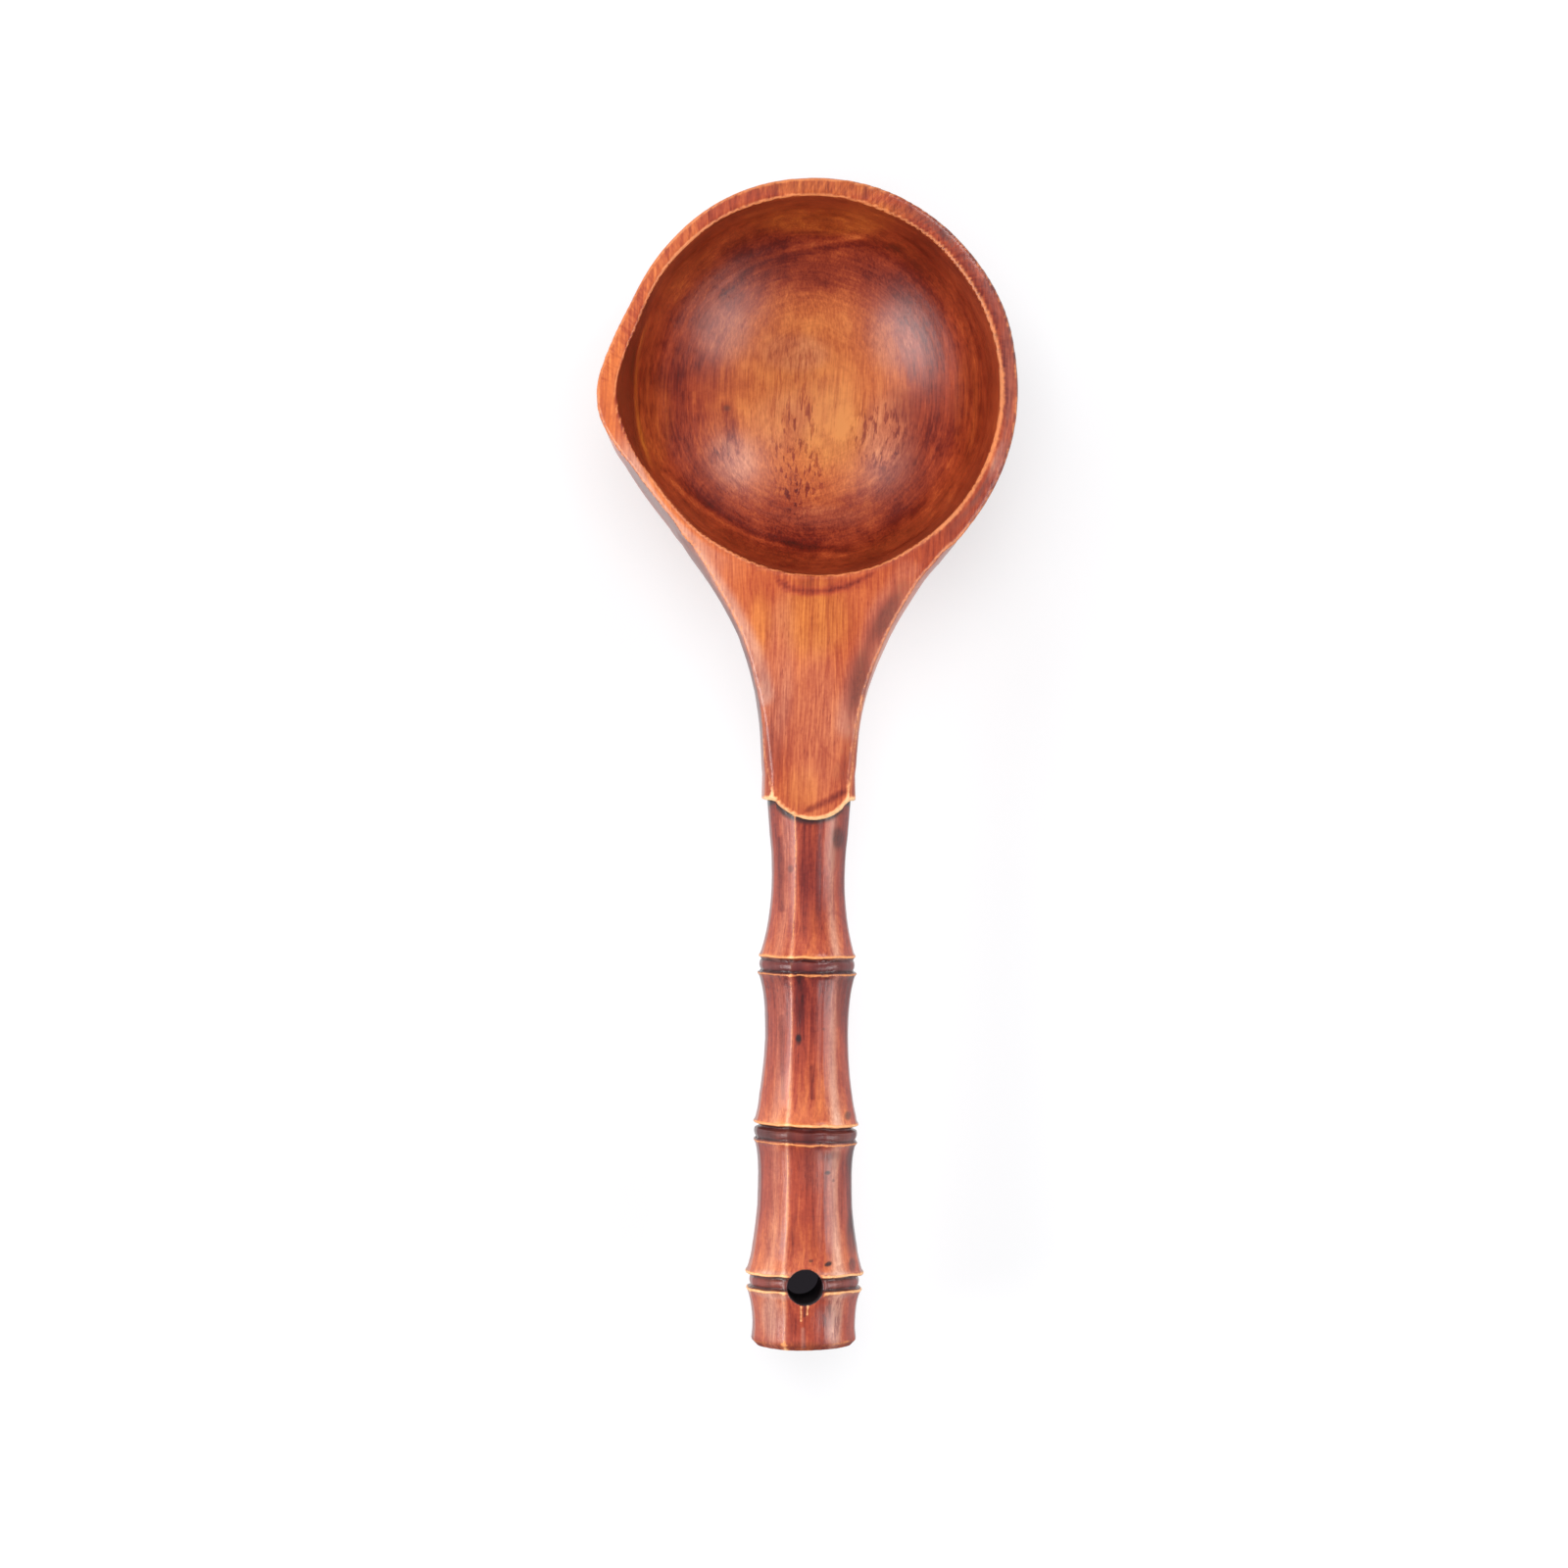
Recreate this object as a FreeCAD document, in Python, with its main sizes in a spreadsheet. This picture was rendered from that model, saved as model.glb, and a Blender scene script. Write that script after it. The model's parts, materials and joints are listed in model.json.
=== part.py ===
"""Wooden water dipper: a carved scoop with a side spout and a grip cut like jointed bamboo.

The scoop is turned round the Z axis, stands on its foot at the origin and opens upwards.
The grip runs along -Y, and its tenon sits in the end of the scoop's neck.
"""

import math
import os
import re

import FreeCAD, Part
import Sketcher

# Driving dimensions in millimetres, angles in degrees, shares without a unit
SIZES = {
    # Scoop, turned outside and inside
    "scoop_height": 46.0,
    "rim_radius": 43.6,
    "belly_swell": 0.3,
    "foot_radius": 16.0,
    "under_spare": 8.1,
    "under_bend": 21.0,
    "rim_wall": 3.7,
    "hollow_swell": 1.0,
    "floor_wall": 5.0,
    "floor_spare": 11.1,
    "floor_bend": 18.0,
    # Spout, pushed out of the wall on the left
    "spout_reach": 3.1,
    "spout_wall": 4.3,
    "spout_angle": 30.0,
    "spout_drop": 30.0,
    "spout_sink": 0.2,
    "gouge_drop": 15.0,
    "gouge_clear": 1.5,
    # Neck: the stations step away from the scoop, the last two are set by its end
    "neck_start": 28.0,
    "neck_step_1": 5.0,
    "neck_step_2": 5.0,
    "neck_step_3": 5.0,
    "neck_step_4": 6.0,
    "neck_step_5": 7.5,
    "neck_step_6": 8.5,
    "neck_step_7": 9.0,
    "neck_step_8": 9.0,
    "neck_tail": 5.6,
    "neck_half_0": 31.4,
    "neck_half_1": 28.3,
    "neck_half_2": 24.3,
    "neck_half_3": 20.9,
    "neck_half_4": 17.6,
    "neck_half_5": 14.7,
    "neck_half_6": 12.0,
    "neck_half_7": 10.4,
    "neck_end_half": 9.7,
    "neck_deep_0": 38.5,
    "neck_deep_1": 35.7,
    "neck_deep_2": 31.7,
    "neck_deep_3": 27.5,
    "neck_deep_4": 24.2,
    "neck_deep_5": 21.7,
    "neck_deep_6": 20.1,
    "neck_deep_7": 19.5,
    "neck_swell_0": 14.0,
    "neck_swell_1": 14.0,
    "neck_swell_2": 13.0,
    "neck_swell_3": 12.0,
    "neck_swell_4": 11.0,
    "neck_swell_5": 10.5,
    "neck_swell_6": 10.0,
    "neck_swell_7": 9.8,
    "neck_draw_root": 0.9,
    "neck_draw_end": 0.3,
    "neck_bevel_root": 0.3,
    "neck_bevel_end": 1.9,
    # Shoulder where the scoop ends and the grip starts
    "nose_half": 7.2,
    "nose_reach": 3.5,
    "tenon_radius": 5.0,
    "tenon_length": 18.0,
    "tenon_clear": 0.05,
    "mortise_spare": 1.5,
    # Grip: half-widths across its eight flats, and the steps between them
    "flat_crown_share": 0.045,
    "top_half": 8.7,
    "top_length": 7.5,
    "upper_bend_half": 8.1,
    "upper_waist_length": 9.5,
    "upper_waist_half": 7.7,
    "upper_flare_length": 16.8,
    "upper_knee_half": 8.6,
    "upper_lip_half": 9.9,
    "first_groove": 0.6,
    "first_groove_half": 9.3,
    "first_band": 2.6,
    "first_band_half": 9.6,
    "middle_lip_half": 10.1,
    "middle_top_length": 3.6,
    "middle_top_half": 9.2,
    "middle_waist_length": 10.0,
    "middle_waist_half": 8.8,
    "middle_flare_length": 19.15,
    "middle_knee_half": 9.5,
    "middle_end_half": 10.9,
    "second_groove": 1.0,
    "second_groove_half": 10.2,
    "second_band": 2.4,
    "second_band_half": 10.7,
    "lower_lip_half": 10.9,
    "lower_top_length": 3.2,
    "lower_top_half": 10.2,
    "lower_waist_length": 6.0,
    "lower_waist_half": 10.0,
    "lower_flare_length": 19.4,
    "lower_knee_half": 10.7,
    "lower_end_half": 12.3,
    "third_groove": 0.5,
    "third_groove_half": 11.0,
    "third_band": 2.5,
    "third_band_half": 11.3,
    "butt_lip_half": 12.1,
    "butt_top_length": 2.7,
    "butt_top_half": 11.3,
    "butt_length": 8.85,
    "butt_half": 11.0,
    "butt_chamfer": 1.2,
    "hang_hole_radius": 3.75,
    "hang_hole_run": 192.4,
    # Overrun of every cut past the wood that it goes through
    "overrun": 4.0,
}

# Sums of the driving dimensions, kept in the same table
DERIVED = {
    "belly_radius": "rim_radius + belly_swell",
    "under_curve": "belly_radius + under_spare",
    "under_centre": "sqrt(under_curve ^ 2 - foot_radius ^ 2)",
    "belly_height": "under_centre - sqrt((under_curve - under_bend) ^ 2 - (belly_radius - under_bend) ^ 2)",
    "shoulder_run": "neck_start + neck_step_1 + neck_step_2 + neck_step_3 + neck_step_4"
                    " + neck_step_5 + neck_step_6 + neck_step_7 + neck_step_8 + neck_tail",
    "grip_height": "scoop_height - neck_end_half",
    "hollow_radius": "rim_radius - rim_wall",
    "hollow_belly": "hollow_radius - hollow_swell",
    "floor_curve": "hollow_belly + floor_spare",
    "lip_reach": "spout_reach + rim_wall - spout_wall",
    "nose_radius": "(nose_half ^ 2 + nose_reach ^ 2) / (2 * nose_reach)",
    "nose_run": "shoulder_run + nose_reach",
    "upper_lip_run": "shoulder_run + top_length + upper_waist_length + upper_flare_length",
    "first_band_run": "upper_lip_run + first_groove",
    "middle_lip_run": "first_band_run + first_band",
    "middle_end_run": "middle_lip_run + middle_top_length + middle_waist_length + middle_flare_length",
    "second_band_run": "middle_end_run + second_groove",
    "lower_lip_run": "second_band_run + second_band",
    "lower_end_run": "lower_lip_run + lower_top_length + lower_waist_length + lower_flare_length",
    "third_band_run": "lower_end_run + third_groove",
    "butt_lip_run": "third_band_run + third_band",
    "butt_run": "butt_lip_run + butt_top_length + butt_length",
}

# Where the worn knee of a flare lies along it, as a share of the flare's length
KNEE_SHARE = 0.66

# How far down the spout and the gouge each station lies, and how much overhang is left there
SPOUT_DROP_SHARES = (0.0, 0.3, 0.65, 1.0)
SPOUT_REACH_SHARES = (1.0, 0.72, 0.34, 0.04)
GOUGE_DROP_SHARES = (0.0, 0.5, 1.0)
GOUGE_REACH_SHARES = (1.0, 0.55, 0.02)

# How much of the root's draw, and of the end's bevel, each station of the neck has
NECK_DRAW_SHARES = (1.0, 1.0, 1.0, 0.9, 0.6, 0.3, 0.1, 0.0, 0.0)
NECK_BEVEL_SHARES = (0.0, 0.0, 0.0, 0.0, 0.0, 0.05, 0.2, 0.5, 0.85)
LAST_FREE_NECK_INDEX = 7

# Half the angle that one of the grip's eight flats spans
HALF_FLAT_ANGLE = 22.5

# Numbers by which a sketch knows its origin, its axes and the points of an edge
ORIGIN = (-1, 1)
ACROSS_AXIS_INDEX = -1
UP_AXIS_INDEX = -2
START_INDEX = 1
END_INDEX = 2
CENTRE_INDEX = 3

UPWARDS = FreeCAD.Vector(0, 0, 1)
CELL = {alias: f"sizes.{alias}" for alias in [*SIZES, *DERIVED]}

doc = FreeCAD.newDocument("dipper")
sheet = doc.addObject("Spreadsheet::Sheet", "sizes")


def fill_sheet():
    """Write every driving dimension and every sum into the sheet, each under its own alias."""
    row = 0
    for alias, value in SIZES.items():
        row += 1
        sheet.set(f"A{row}", alias)
        sheet.set(f"B{row}", str(value))
        sheet.setAlias(f"B{row}", alias)
    for alias, formula in DERIVED.items():
        row += 1
        sheet.set(f"A{row}", alias)
        sheet.set(f"B{row}", "=" + formula)
        sheet.setAlias(f"B{row}", alias)
    doc.recompute()


def size(formula):
    """Return the present value of a formula over the sheet's aliases."""
    return sheet.evalExpression(formula)


class Draft:
    """One sketch on an origin plane of a body, its dimensions bound to formulas over the sheet."""

    def __init__(self, body, name, role, lift="0"):
        """Open the sketch on the plane with this role, lifted along its normal by a formula."""
        plane = next(item for item in body.Origin.OriginFeatures if item.Role == role)
        self.sketch = body.newObject("Sketcher::SketchObject", name)
        self.sketch.AttachmentSupport = [(plane, "")]
        self.sketch.MapMode = "FlatFace"
        if lift != "0":
            self.sketch.setExpression("AttachmentOffset.Base.z", bound(lift))

    def line(self, start, end):
        """Draw a line between two places."""
        return self.sketch.addGeometry(Part.LineSegment(point(start), point(end)), False)

    def arc(self, centre, start, end):
        """Draw the arc that turns left about a centre from one place to another."""
        radius = math.dist(centre, start)
        first = math.atan2(start[1] - centre[1], start[0] - centre[0])
        last = math.atan2(end[1] - centre[1], end[0] - centre[0])
        ring = Part.Circle(point(centre), UPWARDS, radius)
        return self.sketch.addGeometry(Part.ArcOfCircle(ring, first, last), False)

    def circle(self, centre, radius):
        """Draw a circle."""
        return self.sketch.addGeometry(Part.Circle(point(centre), UPWARDS, radius), False)

    def fix(self, kind, *arguments):
        """Add a constraint without a dimension."""
        self.sketch.addConstraint(Sketcher.Constraint(kind, *arguments))

    def bind(self, formula, kind, *arguments):
        """Add a dimension and bind it to a formula."""
        number = self.sketch.addConstraint(Sketcher.Constraint(kind, *arguments, size(formula)))
        self.sketch.setExpression(f"Constraints[{number}]", bound(formula))

    def place(self, edge, end, across, up):
        """Bind both coordinates of an edge's end, measured from the sketch's origin."""
        both = (("DistanceX", UP_AXIS_INDEX, across), ("DistanceY", ACROSS_AXIS_INDEX, up))
        for kind, axis, formula in both:
            if formula == "0":
                self.fix("PointOnObject", edge, end, axis)
            else:
                self.bind(formula, kind, *ORIGIN, edge, end)

    def mirror(self, edge, end, other, other_end, axis):
        """Make two ends mirror each other in an axis."""
        self.fix("Symmetric", edge, end, other, other_end, axis)

    def ring(self, edges):
        """Join edges in a closed ring, each one's end to the next one's start."""
        for here, there in zip(edges, [*edges[1:], edges[0]]):
            self.fix("Coincident", here, END_INDEX, there, START_INDEX)

    def open_chain(self, edges):
        """Join edges in an open chain, each one's end to the next one's start."""
        for here, there in zip(edges, edges[1:]):
            self.fix("Coincident", here, END_INDEX, there, START_INDEX)


def point(place):
    """Return a place in a sketch as a vector."""
    return FreeCAD.Vector(*place, 0)


def bound(formula):
    """Return a formula with each alias written as a cell of the sheet."""
    return re.sub(r"[a-z]\w*", lambda word: CELL.get(word[0], word[0]), formula)


def loft(body, kind, name, drafts):
    """Add a loft of this kind through the drafts in turn."""
    feature = body.newObject(f"PartDesign::{kind}", name)
    feature.Profile = drafts[0].sketch
    feature.Sections = [draft.sketch for draft in drafts[1:]]
    doc.recompute()
    return feature


def turn(body, kind, name, draft):
    """Turn a draft all the way round its upright axis, to add wood or to cut it away."""
    feature = body.newObject(f"PartDesign::{kind}", name)
    feature.Profile = draft.sketch
    feature.ReferenceAxis = (draft.sketch, ["V_Axis"])
    doc.recompute()
    return feature


def cut(body, name, draft, depth=None):
    """Cut a draft out of the body against its normal, to a depth or right through."""
    before = body.Shape.Volume
    feature = body.newObject("PartDesign::Pocket", name)
    feature.Profile = draft.sketch
    if depth is None:
        feature.Type = "ThroughAll"
    else:
        feature.setExpression("Length", bound(depth))
    doc.recompute()
    if feature.Shape.Volume >= before:
        raise RuntimeError(f"{name} cuts nothing away")
    return feature


def pad(body, name, draft, length):
    """Pad a draft along its normal by a length."""
    feature = body.newObject("PartDesign::Pad", name)
    feature.Profile = draft.sketch
    feature.setExpression("Length", bound(length))
    doc.recompute()
    return feature


def bowl_curve(draft, start, centre, curve, bend, belly, rim):
    """Draw half a bowl: a shallow floor, a round bend into the belly and a wall up to the rim."""
    floor_up, shallow, tight, wide = size(centre), size(curve), size(bend), size(belly)
    across = wide - tight
    drop = math.sqrt((shallow - tight) ** 2 - across ** 2)
    share = shallow / (shallow - tight)
    meet = (across * share, floor_up - drop * share)
    belly_place = (wide, floor_up - drop)
    floor = draft.arc((0, floor_up), (size(start[0]), size(start[1])), meet)
    round_bend = draft.arc((across, floor_up - drop), meet, belly_place)
    wall = draft.line(belly_place, (size(rim), size("scoop_height")))
    draft.fix("Tangent", floor, END_INDEX, round_bend, START_INDEX)
    draft.fix("Coincident", round_bend, END_INDEX, wall, START_INDEX)
    draft.place(floor, CENTRE_INDEX, "0", centre)
    draft.place(floor, START_INDEX, *start)
    draft.bind(bend, "Radius", round_bend)
    draft.bind(belly, "DistanceX", *ORIGIN, round_bend, END_INDEX)
    draft.fix("Horizontal", round_bend, CENTRE_INDEX, round_bend, END_INDEX)
    draft.place(wall, END_INDEX, rim, "scoop_height")
    return floor, wall


def turned_outside(body):
    """Turn the scoop's outer form on its flat foot."""
    draft = Draft(body, "OuterProfile", "XZ_Plane")
    foot, rim, top = size("foot_radius"), size("rim_radius"), size("scoop_height")
    floor, wall = bowl_curve(
        draft, ("foot_radius", "0"), "under_centre", "under_curve", "under_bend",
        "belly_radius", "rim_radius")
    lid = draft.line((rim, top), (0, top))
    axis = draft.line((0, top), (0, 0))
    base = draft.line((0, 0), (foot, 0))
    draft.open_chain([wall, lid, axis, base, floor])
    draft.place(lid, END_INDEX, "0", "scoop_height")
    draft.place(axis, END_INDEX, "0", "0")
    return turn(body, "Revolution", "TurnedOutside", draft)


def turned_hollow(body):
    """Turn the hollow out, up past the rim."""
    draft = Draft(body, "HollowProfile", "XZ_Plane")
    rim, top, floor_up = size("hollow_radius"), size("scoop_height"), size("floor_wall")
    over = top + size("overrun")
    floor, wall = bowl_curve(
        draft, ("0", "floor_wall"), "floor_wall + floor_curve", "floor_curve", "floor_bend",
        "hollow_belly", "hollow_radius")
    mouth = draft.line((rim, top), (rim, over))
    lid = draft.line((rim, over), (0, over))
    axis = draft.line((0, over), (0, floor_up))
    draft.open_chain([wall, mouth, lid, axis, floor])
    draft.place(mouth, END_INDEX, "hollow_radius", "scoop_height + overrun")
    draft.place(lid, END_INDEX, "0", "scoop_height + overrun")
    return turn(body, "Groove", "TurnedHollow", draft)


def spout_section(body, name, height, base, reach):
    """Draw a level wedge that leaves a round wall on two tangents and closes on a small arc."""
    draft = Draft(body, name, "XY_Plane", height)
    away = f"({reach}) / (1 - cos(spout_angle))"
    small = f"({base}) - {away} * cos(spout_angle)"
    span, cosine, sine = size(base), size("cos(spout_angle)"), size("sin(spout_angle)")
    centre, radius = -size(away), size(small)
    upper_root = (-span * cosine, span * sine)
    lower_root = (-span * cosine, -span * sine)
    upper_tip = (centre - radius * cosine, radius * sine)
    lower_tip = (centre - radius * cosine, -radius * sine)
    chord = draft.line(lower_root, upper_root)
    upper = draft.line(upper_root, upper_tip)
    tip = draft.arc((centre, 0), upper_tip, lower_tip)
    lower = draft.line(lower_tip, lower_root)
    draft.open_chain([lower, chord, upper])
    draft.fix("Tangent", upper, END_INDEX, tip, START_INDEX)
    draft.fix("Tangent", tip, END_INDEX, lower, START_INDEX)
    draft.bind(f"({base}) * cos(spout_angle)", "DistanceX", upper, START_INDEX, *ORIGIN)
    draft.bind(f"({base}) * sin(spout_angle)", "DistanceY", *ORIGIN, upper, START_INDEX)
    draft.mirror(upper, START_INDEX, lower, END_INDEX, ACROSS_AXIS_INDEX)
    draft.fix("PointOnObject", tip, CENTRE_INDEX, ACROSS_AXIS_INDEX)
    draft.bind(away, "DistanceX", tip, CENTRE_INDEX, *ORIGIN)
    draft.bind(small, "Radius", tip)
    return draft


def spout_outside(body):
    """Push the spout out of the wall; it fades into the round bottom."""
    drafts = []
    for station, (drop, reach) in enumerate(zip(SPOUT_DROP_SHARES, SPOUT_REACH_SHARES)):
        height = f"scoop_height - spout_drop * {drop}"
        dip = f"max(0; belly_height - ({height}))"
        wall = f"belly_radius - under_bend + sqrt(under_bend ^ 2 - ({dip}) ^ 2)"
        base = f"min(rim_radius; {wall}) - spout_sink"
        drafts.append(spout_section(body, f"SpoutLevel{station}", height, base, f"spout_reach * {reach}"))
    return loft(body, "AdditiveLoft", "SpoutOutside", drafts)


def spout_gouge(body):
    """Gouge the spout's channel down to a crease in the wall of the hollow."""
    drafts = []
    for station, (drop, reach) in enumerate(zip(GOUGE_DROP_SHARES, GOUGE_REACH_SHARES)):
        height = f"scoop_height - gouge_drop * {drop}"
        base = f"hollow_radius - gouge_clear * {drop}"
        drafts.append(spout_section(body, f"GougeLevel{station}", height, base, f"lip_reach * {reach}"))
    return loft(body, "SubtractiveLoft", "SpoutGouge", drafts)


def neck_section(body, station, run, half, deep, swell, draw, bevel):
    """Draw the neck's section: a flat top with bevels, swelling sides and a round underside."""
    draft = Draft(body, f"NeckSection{station}", "XZ_Plane", run)
    top = size("scoop_height")
    wide, depth, belly = size(half), size(deep), size(swell)
    inset, cant = size(draw), size(bevel)
    sag = depth - belly
    curve = (wide ** 2 + sag ** 2) / (2 * sag)
    centre = top - depth + curve
    side_low = (wide, top - belly)
    side_high = (wide - inset, top - cant)
    flat_end = (wide - inset - cant, top)
    inward = (-wide / curve, (centre - side_low[1]) / curve)
    step = (side_high[0] - side_low[0], side_high[1] - side_low[1])
    side_curve = (step[0] ** 2 + step[1] ** 2) / (2 * (inward[0] * step[0] + inward[1] * step[1]))
    side_centre = (side_low[0] + inward[0] * side_curve, side_low[1] + inward[1] * side_curve)
    under = draft.arc((0, centre), mirrored(side_low), side_low)
    right = draft.arc(side_centre, side_low, side_high)
    right_bevel = draft.line(side_high, flat_end)
    flat = draft.line(flat_end, mirrored(flat_end))
    left_bevel = draft.line(mirrored(flat_end), mirrored(side_high))
    left = draft.arc(mirrored(side_centre), mirrored(side_high), mirrored(side_low))
    draft.open_chain([right, right_bevel, flat, left_bevel, left])
    draft.fix("Tangent", under, END_INDEX, right, START_INDEX)
    draft.fix("Tangent", left, END_INDEX, under, START_INDEX)
    draft.place(right, START_INDEX, half, f"scoop_height - ({swell})")
    draft.place(right, END_INDEX, f"({half}) - ({draw})", f"scoop_height - ({bevel})")
    draft.place(flat, START_INDEX, f"({half}) - ({draw}) - ({bevel})", "scoop_height")
    draft.mirror(right, START_INDEX, left, END_INDEX, UP_AXIS_INDEX)
    draft.mirror(right, END_INDEX, left, START_INDEX, UP_AXIS_INDEX)
    draft.mirror(flat, START_INDEX, flat, END_INDEX, UP_AXIS_INDEX)
    rise = f"(({deep}) - ({swell}))"
    middle = f"scoop_height - ({deep}) + (({half}) ^ 2 + {rise} ^ 2) / (2 * {rise})"
    draft.bind(middle, "DistanceY", *ORIGIN, under, CENTRE_INDEX)
    return draft


def mirrored(place):
    """Return a place on the other side of the upright axis."""
    return (-place[0], place[1])


def neck(body):
    """Loft the neck out of the scoop's wall and pad its last section to past the shoulder."""
    drafts = []
    run = "neck_start"
    for station, (draw_share, bevel_share) in enumerate(zip(NECK_DRAW_SHARES, NECK_BEVEL_SHARES)):
        if station:
            run += f" + neck_step_{station}"
        ended = station > LAST_FREE_NECK_INDEX
        half = "neck_end_half" if ended else f"neck_half_{station}"
        deep = "2 * neck_end_half" if ended else f"neck_deep_{station}"
        swell = "neck_end_half" if ended else f"neck_swell_{station}"
        draw = f"neck_draw_end + (neck_draw_root - neck_draw_end) * {draw_share}"
        bevel = f"neck_bevel_root + (neck_bevel_end - neck_bevel_root) * {bevel_share}"
        drafts.append(neck_section(body, station, run, half, deep, swell, draw, bevel))
    loft(body, "AdditiveLoft", "Neck", drafts)
    return pad(body, "NeckTail", drafts[-1], "neck_tail + nose_reach + overrun")


def neck_end(body):
    """Trim the neck to a straight shoulder with a round nose in the middle."""
    draft = Draft(body, "NeckEndOutline", "XY_Plane", "scoop_height + overrun")
    half, shoulder = size("nose_half"), size("shoulder_run")
    nose, middle = size("nose_run"), size("nose_run - nose_radius")
    wide = size("neck_end_half + overrun")
    far = nose + 2 * size("overrun")
    left = draft.line((-wide, -shoulder), (-half, -shoulder))
    tongue = draft.arc((0, -middle), (-half, -shoulder), (half, -shoulder))
    right = draft.line((half, -shoulder), (wide, -shoulder))
    right_side = draft.line((wide, -shoulder), (wide, -far))
    end = draft.line((wide, -far), (-wide, -far))
    left_side = draft.line((-wide, -far), (-wide, -shoulder))
    draft.ring([left, tongue, right, right_side, end, left_side])
    draft.bind("nose_half", "DistanceX", *ORIGIN, tongue, END_INDEX)
    draft.bind("shoulder_run", "DistanceY", tongue, END_INDEX, *ORIGIN)
    draft.mirror(tongue, START_INDEX, tongue, END_INDEX, UP_AXIS_INDEX)
    draft.bind("nose_radius", "Radius", tongue)
    draft.bind("neck_end_half + overrun", "DistanceX", *ORIGIN, right, END_INDEX)
    draft.fix("Horizontal", right)
    draft.mirror(left, START_INDEX, right, END_INDEX, UP_AXIS_INDEX)
    draft.fix("Vertical", right_side)
    draft.bind("nose_run + 2 * overrun", "DistanceY", right_side, END_INDEX, *ORIGIN)
    draft.mirror(end, START_INDEX, end, END_INDEX, UP_AXIS_INDEX)
    return cut(body, "NeckEnd", draft)


def mortise(body):
    """Bore the blind hole for the grip's tenon into the neck's end."""
    draft = Draft(body, "MortiseCircle", "XZ_Plane", "nose_run + overrun")
    bore = draft.circle((0, size("grip_height")), size("tenon_radius + tenon_clear"))
    draft.place(bore, CENTRE_INDEX, "0", "grip_height")
    draft.bind("tenon_radius + tenon_clear", "Radius", bore)
    depth = "nose_reach + overrun + tenon_length + mortise_spare"
    return cut(body, "Mortise", draft, depth)


def bowl_head():
    """Make the scoop with its spout and neck, in one piece of wood."""
    body = doc.addObject("PartDesign::Body", "bowl_head")
    turned_outside(body)
    spout_outside(body)
    neck(body)
    turned_hollow(body)
    spout_gouge(body)
    neck_end(body)
    mortise(body)
    return body


def octagon(body, name, run, half):
    """Draw a section of the grip: eight slightly crowned flats, the top one level."""
    draft = Draft(body, name, "XZ_Plane", run)
    flat = f"({half}) * (1 - flat_crown_share)"
    edge = f"{flat} * tan({HALF_FLAT_ANGLE})"
    crown = f"(({edge}) ^ 2 + (({half}) * flat_crown_share) ^ 2) / (2 * ({half}) * flat_crown_share)"
    reach, side, curve = size(flat), size(edge), size(crown)
    corners = [
        (reach, side), (side, reach), (-side, reach), (-reach, side),
        (-reach, -side), (-side, -reach), (side, -reach), (reach, -side),
    ]
    inset = math.sqrt(curve ** 2 - side ** 2)
    edges = []
    for start, end in zip(corners, [*corners[1:], corners[0]]):
        middle = ((start[0] + end[0]) / 2, (start[1] + end[1]) / 2)
        apart = math.hypot(*middle)
        centre = (middle[0] * (1 - inset / apart), middle[1] * (1 - inset / apart))
        edges.append(draft.arc(centre, start, end))
    draft.ring(edges)
    draft.place(edges[0], START_INDEX, flat, edge)
    draft.place(edges[1], START_INDEX, edge, flat)
    draft.mirror(edges[1], START_INDEX, edges[2], START_INDEX, UP_AXIS_INDEX)
    draft.mirror(edges[0], START_INDEX, edges[3], START_INDEX, UP_AXIS_INDEX)
    for upper, lower in ((3, 4), (2, 5), (1, 6), (0, 7)):
        draft.mirror(edges[upper], START_INDEX, edges[lower], START_INDEX, ACROSS_AXIS_INDEX)
    for other in edges[1:]:
        draft.fix("Equal", edges[0], other)
    draft.bind(crown, "Radius", edges[0])
    return draft


def stem(body, name, start, stations):
    """Loft one length of the grip between two nodes; each station steps on from the one before."""
    drafts = []
    run = start
    for number, (step, half) in enumerate(stations):
        run += f" + {step}"
        drafts.append(octagon(body, f"{name}Section{number}", run, half))
    return loft(body, "AdditiveLoft", name, drafts)


def flare(length, knee, lip):
    """Return the stations of a flare, which opens slowly up to its knee and faster past it."""
    return [(f"{length} * {KNEE_SHARE}", knee), (f"{length} * (1 - {KNEE_SHARE})", lip)]


def node(body, name, run, groove, groove_half, band, band_half):
    """Ring a node with a narrow groove and a band, both lower than the lips beside them."""
    pad(body, f"{name}Groove", octagon(body, f"{name}GrooveSection", run, groove_half), groove)
    pad(body, f"{name}Band", octagon(body, f"{name}BandSection", f"{run} + {groove}", band_half), band)


def nose_seat(body):
    """Hollow the grip's shoulder to take the round nose of the neck, a glue gap apart."""
    draft = Draft(body, "NoseSeatCircle", "XY_Plane", "top_half + overrun")
    radius = "nose_radius + tenon_clear"
    seat = draft.circle((0, -size("nose_run - nose_radius")), size(radius))
    draft.fix("PointOnObject", seat, CENTRE_INDEX, UP_AXIS_INDEX)
    draft.bind("nose_run - nose_radius", "DistanceY", seat, CENTRE_INDEX, *ORIGIN)
    draft.bind(radius, "Radius", seat)
    return cut(body, "NoseSeat", draft)


def tenon(body):
    """Add the round tenon, rooted well inside the grip."""
    draft = Draft(body, "TenonCircle", "XZ_Plane", "shoulder_run - tenon_length")
    peg = draft.circle((0, 0), size("tenon_radius"))
    draft.fix("Coincident", peg, CENTRE_INDEX, *ORIGIN)
    draft.bind("tenon_radius", "Radius", peg)
    return pad(body, "Tenon", draft, "tenon_length + top_length")


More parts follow.
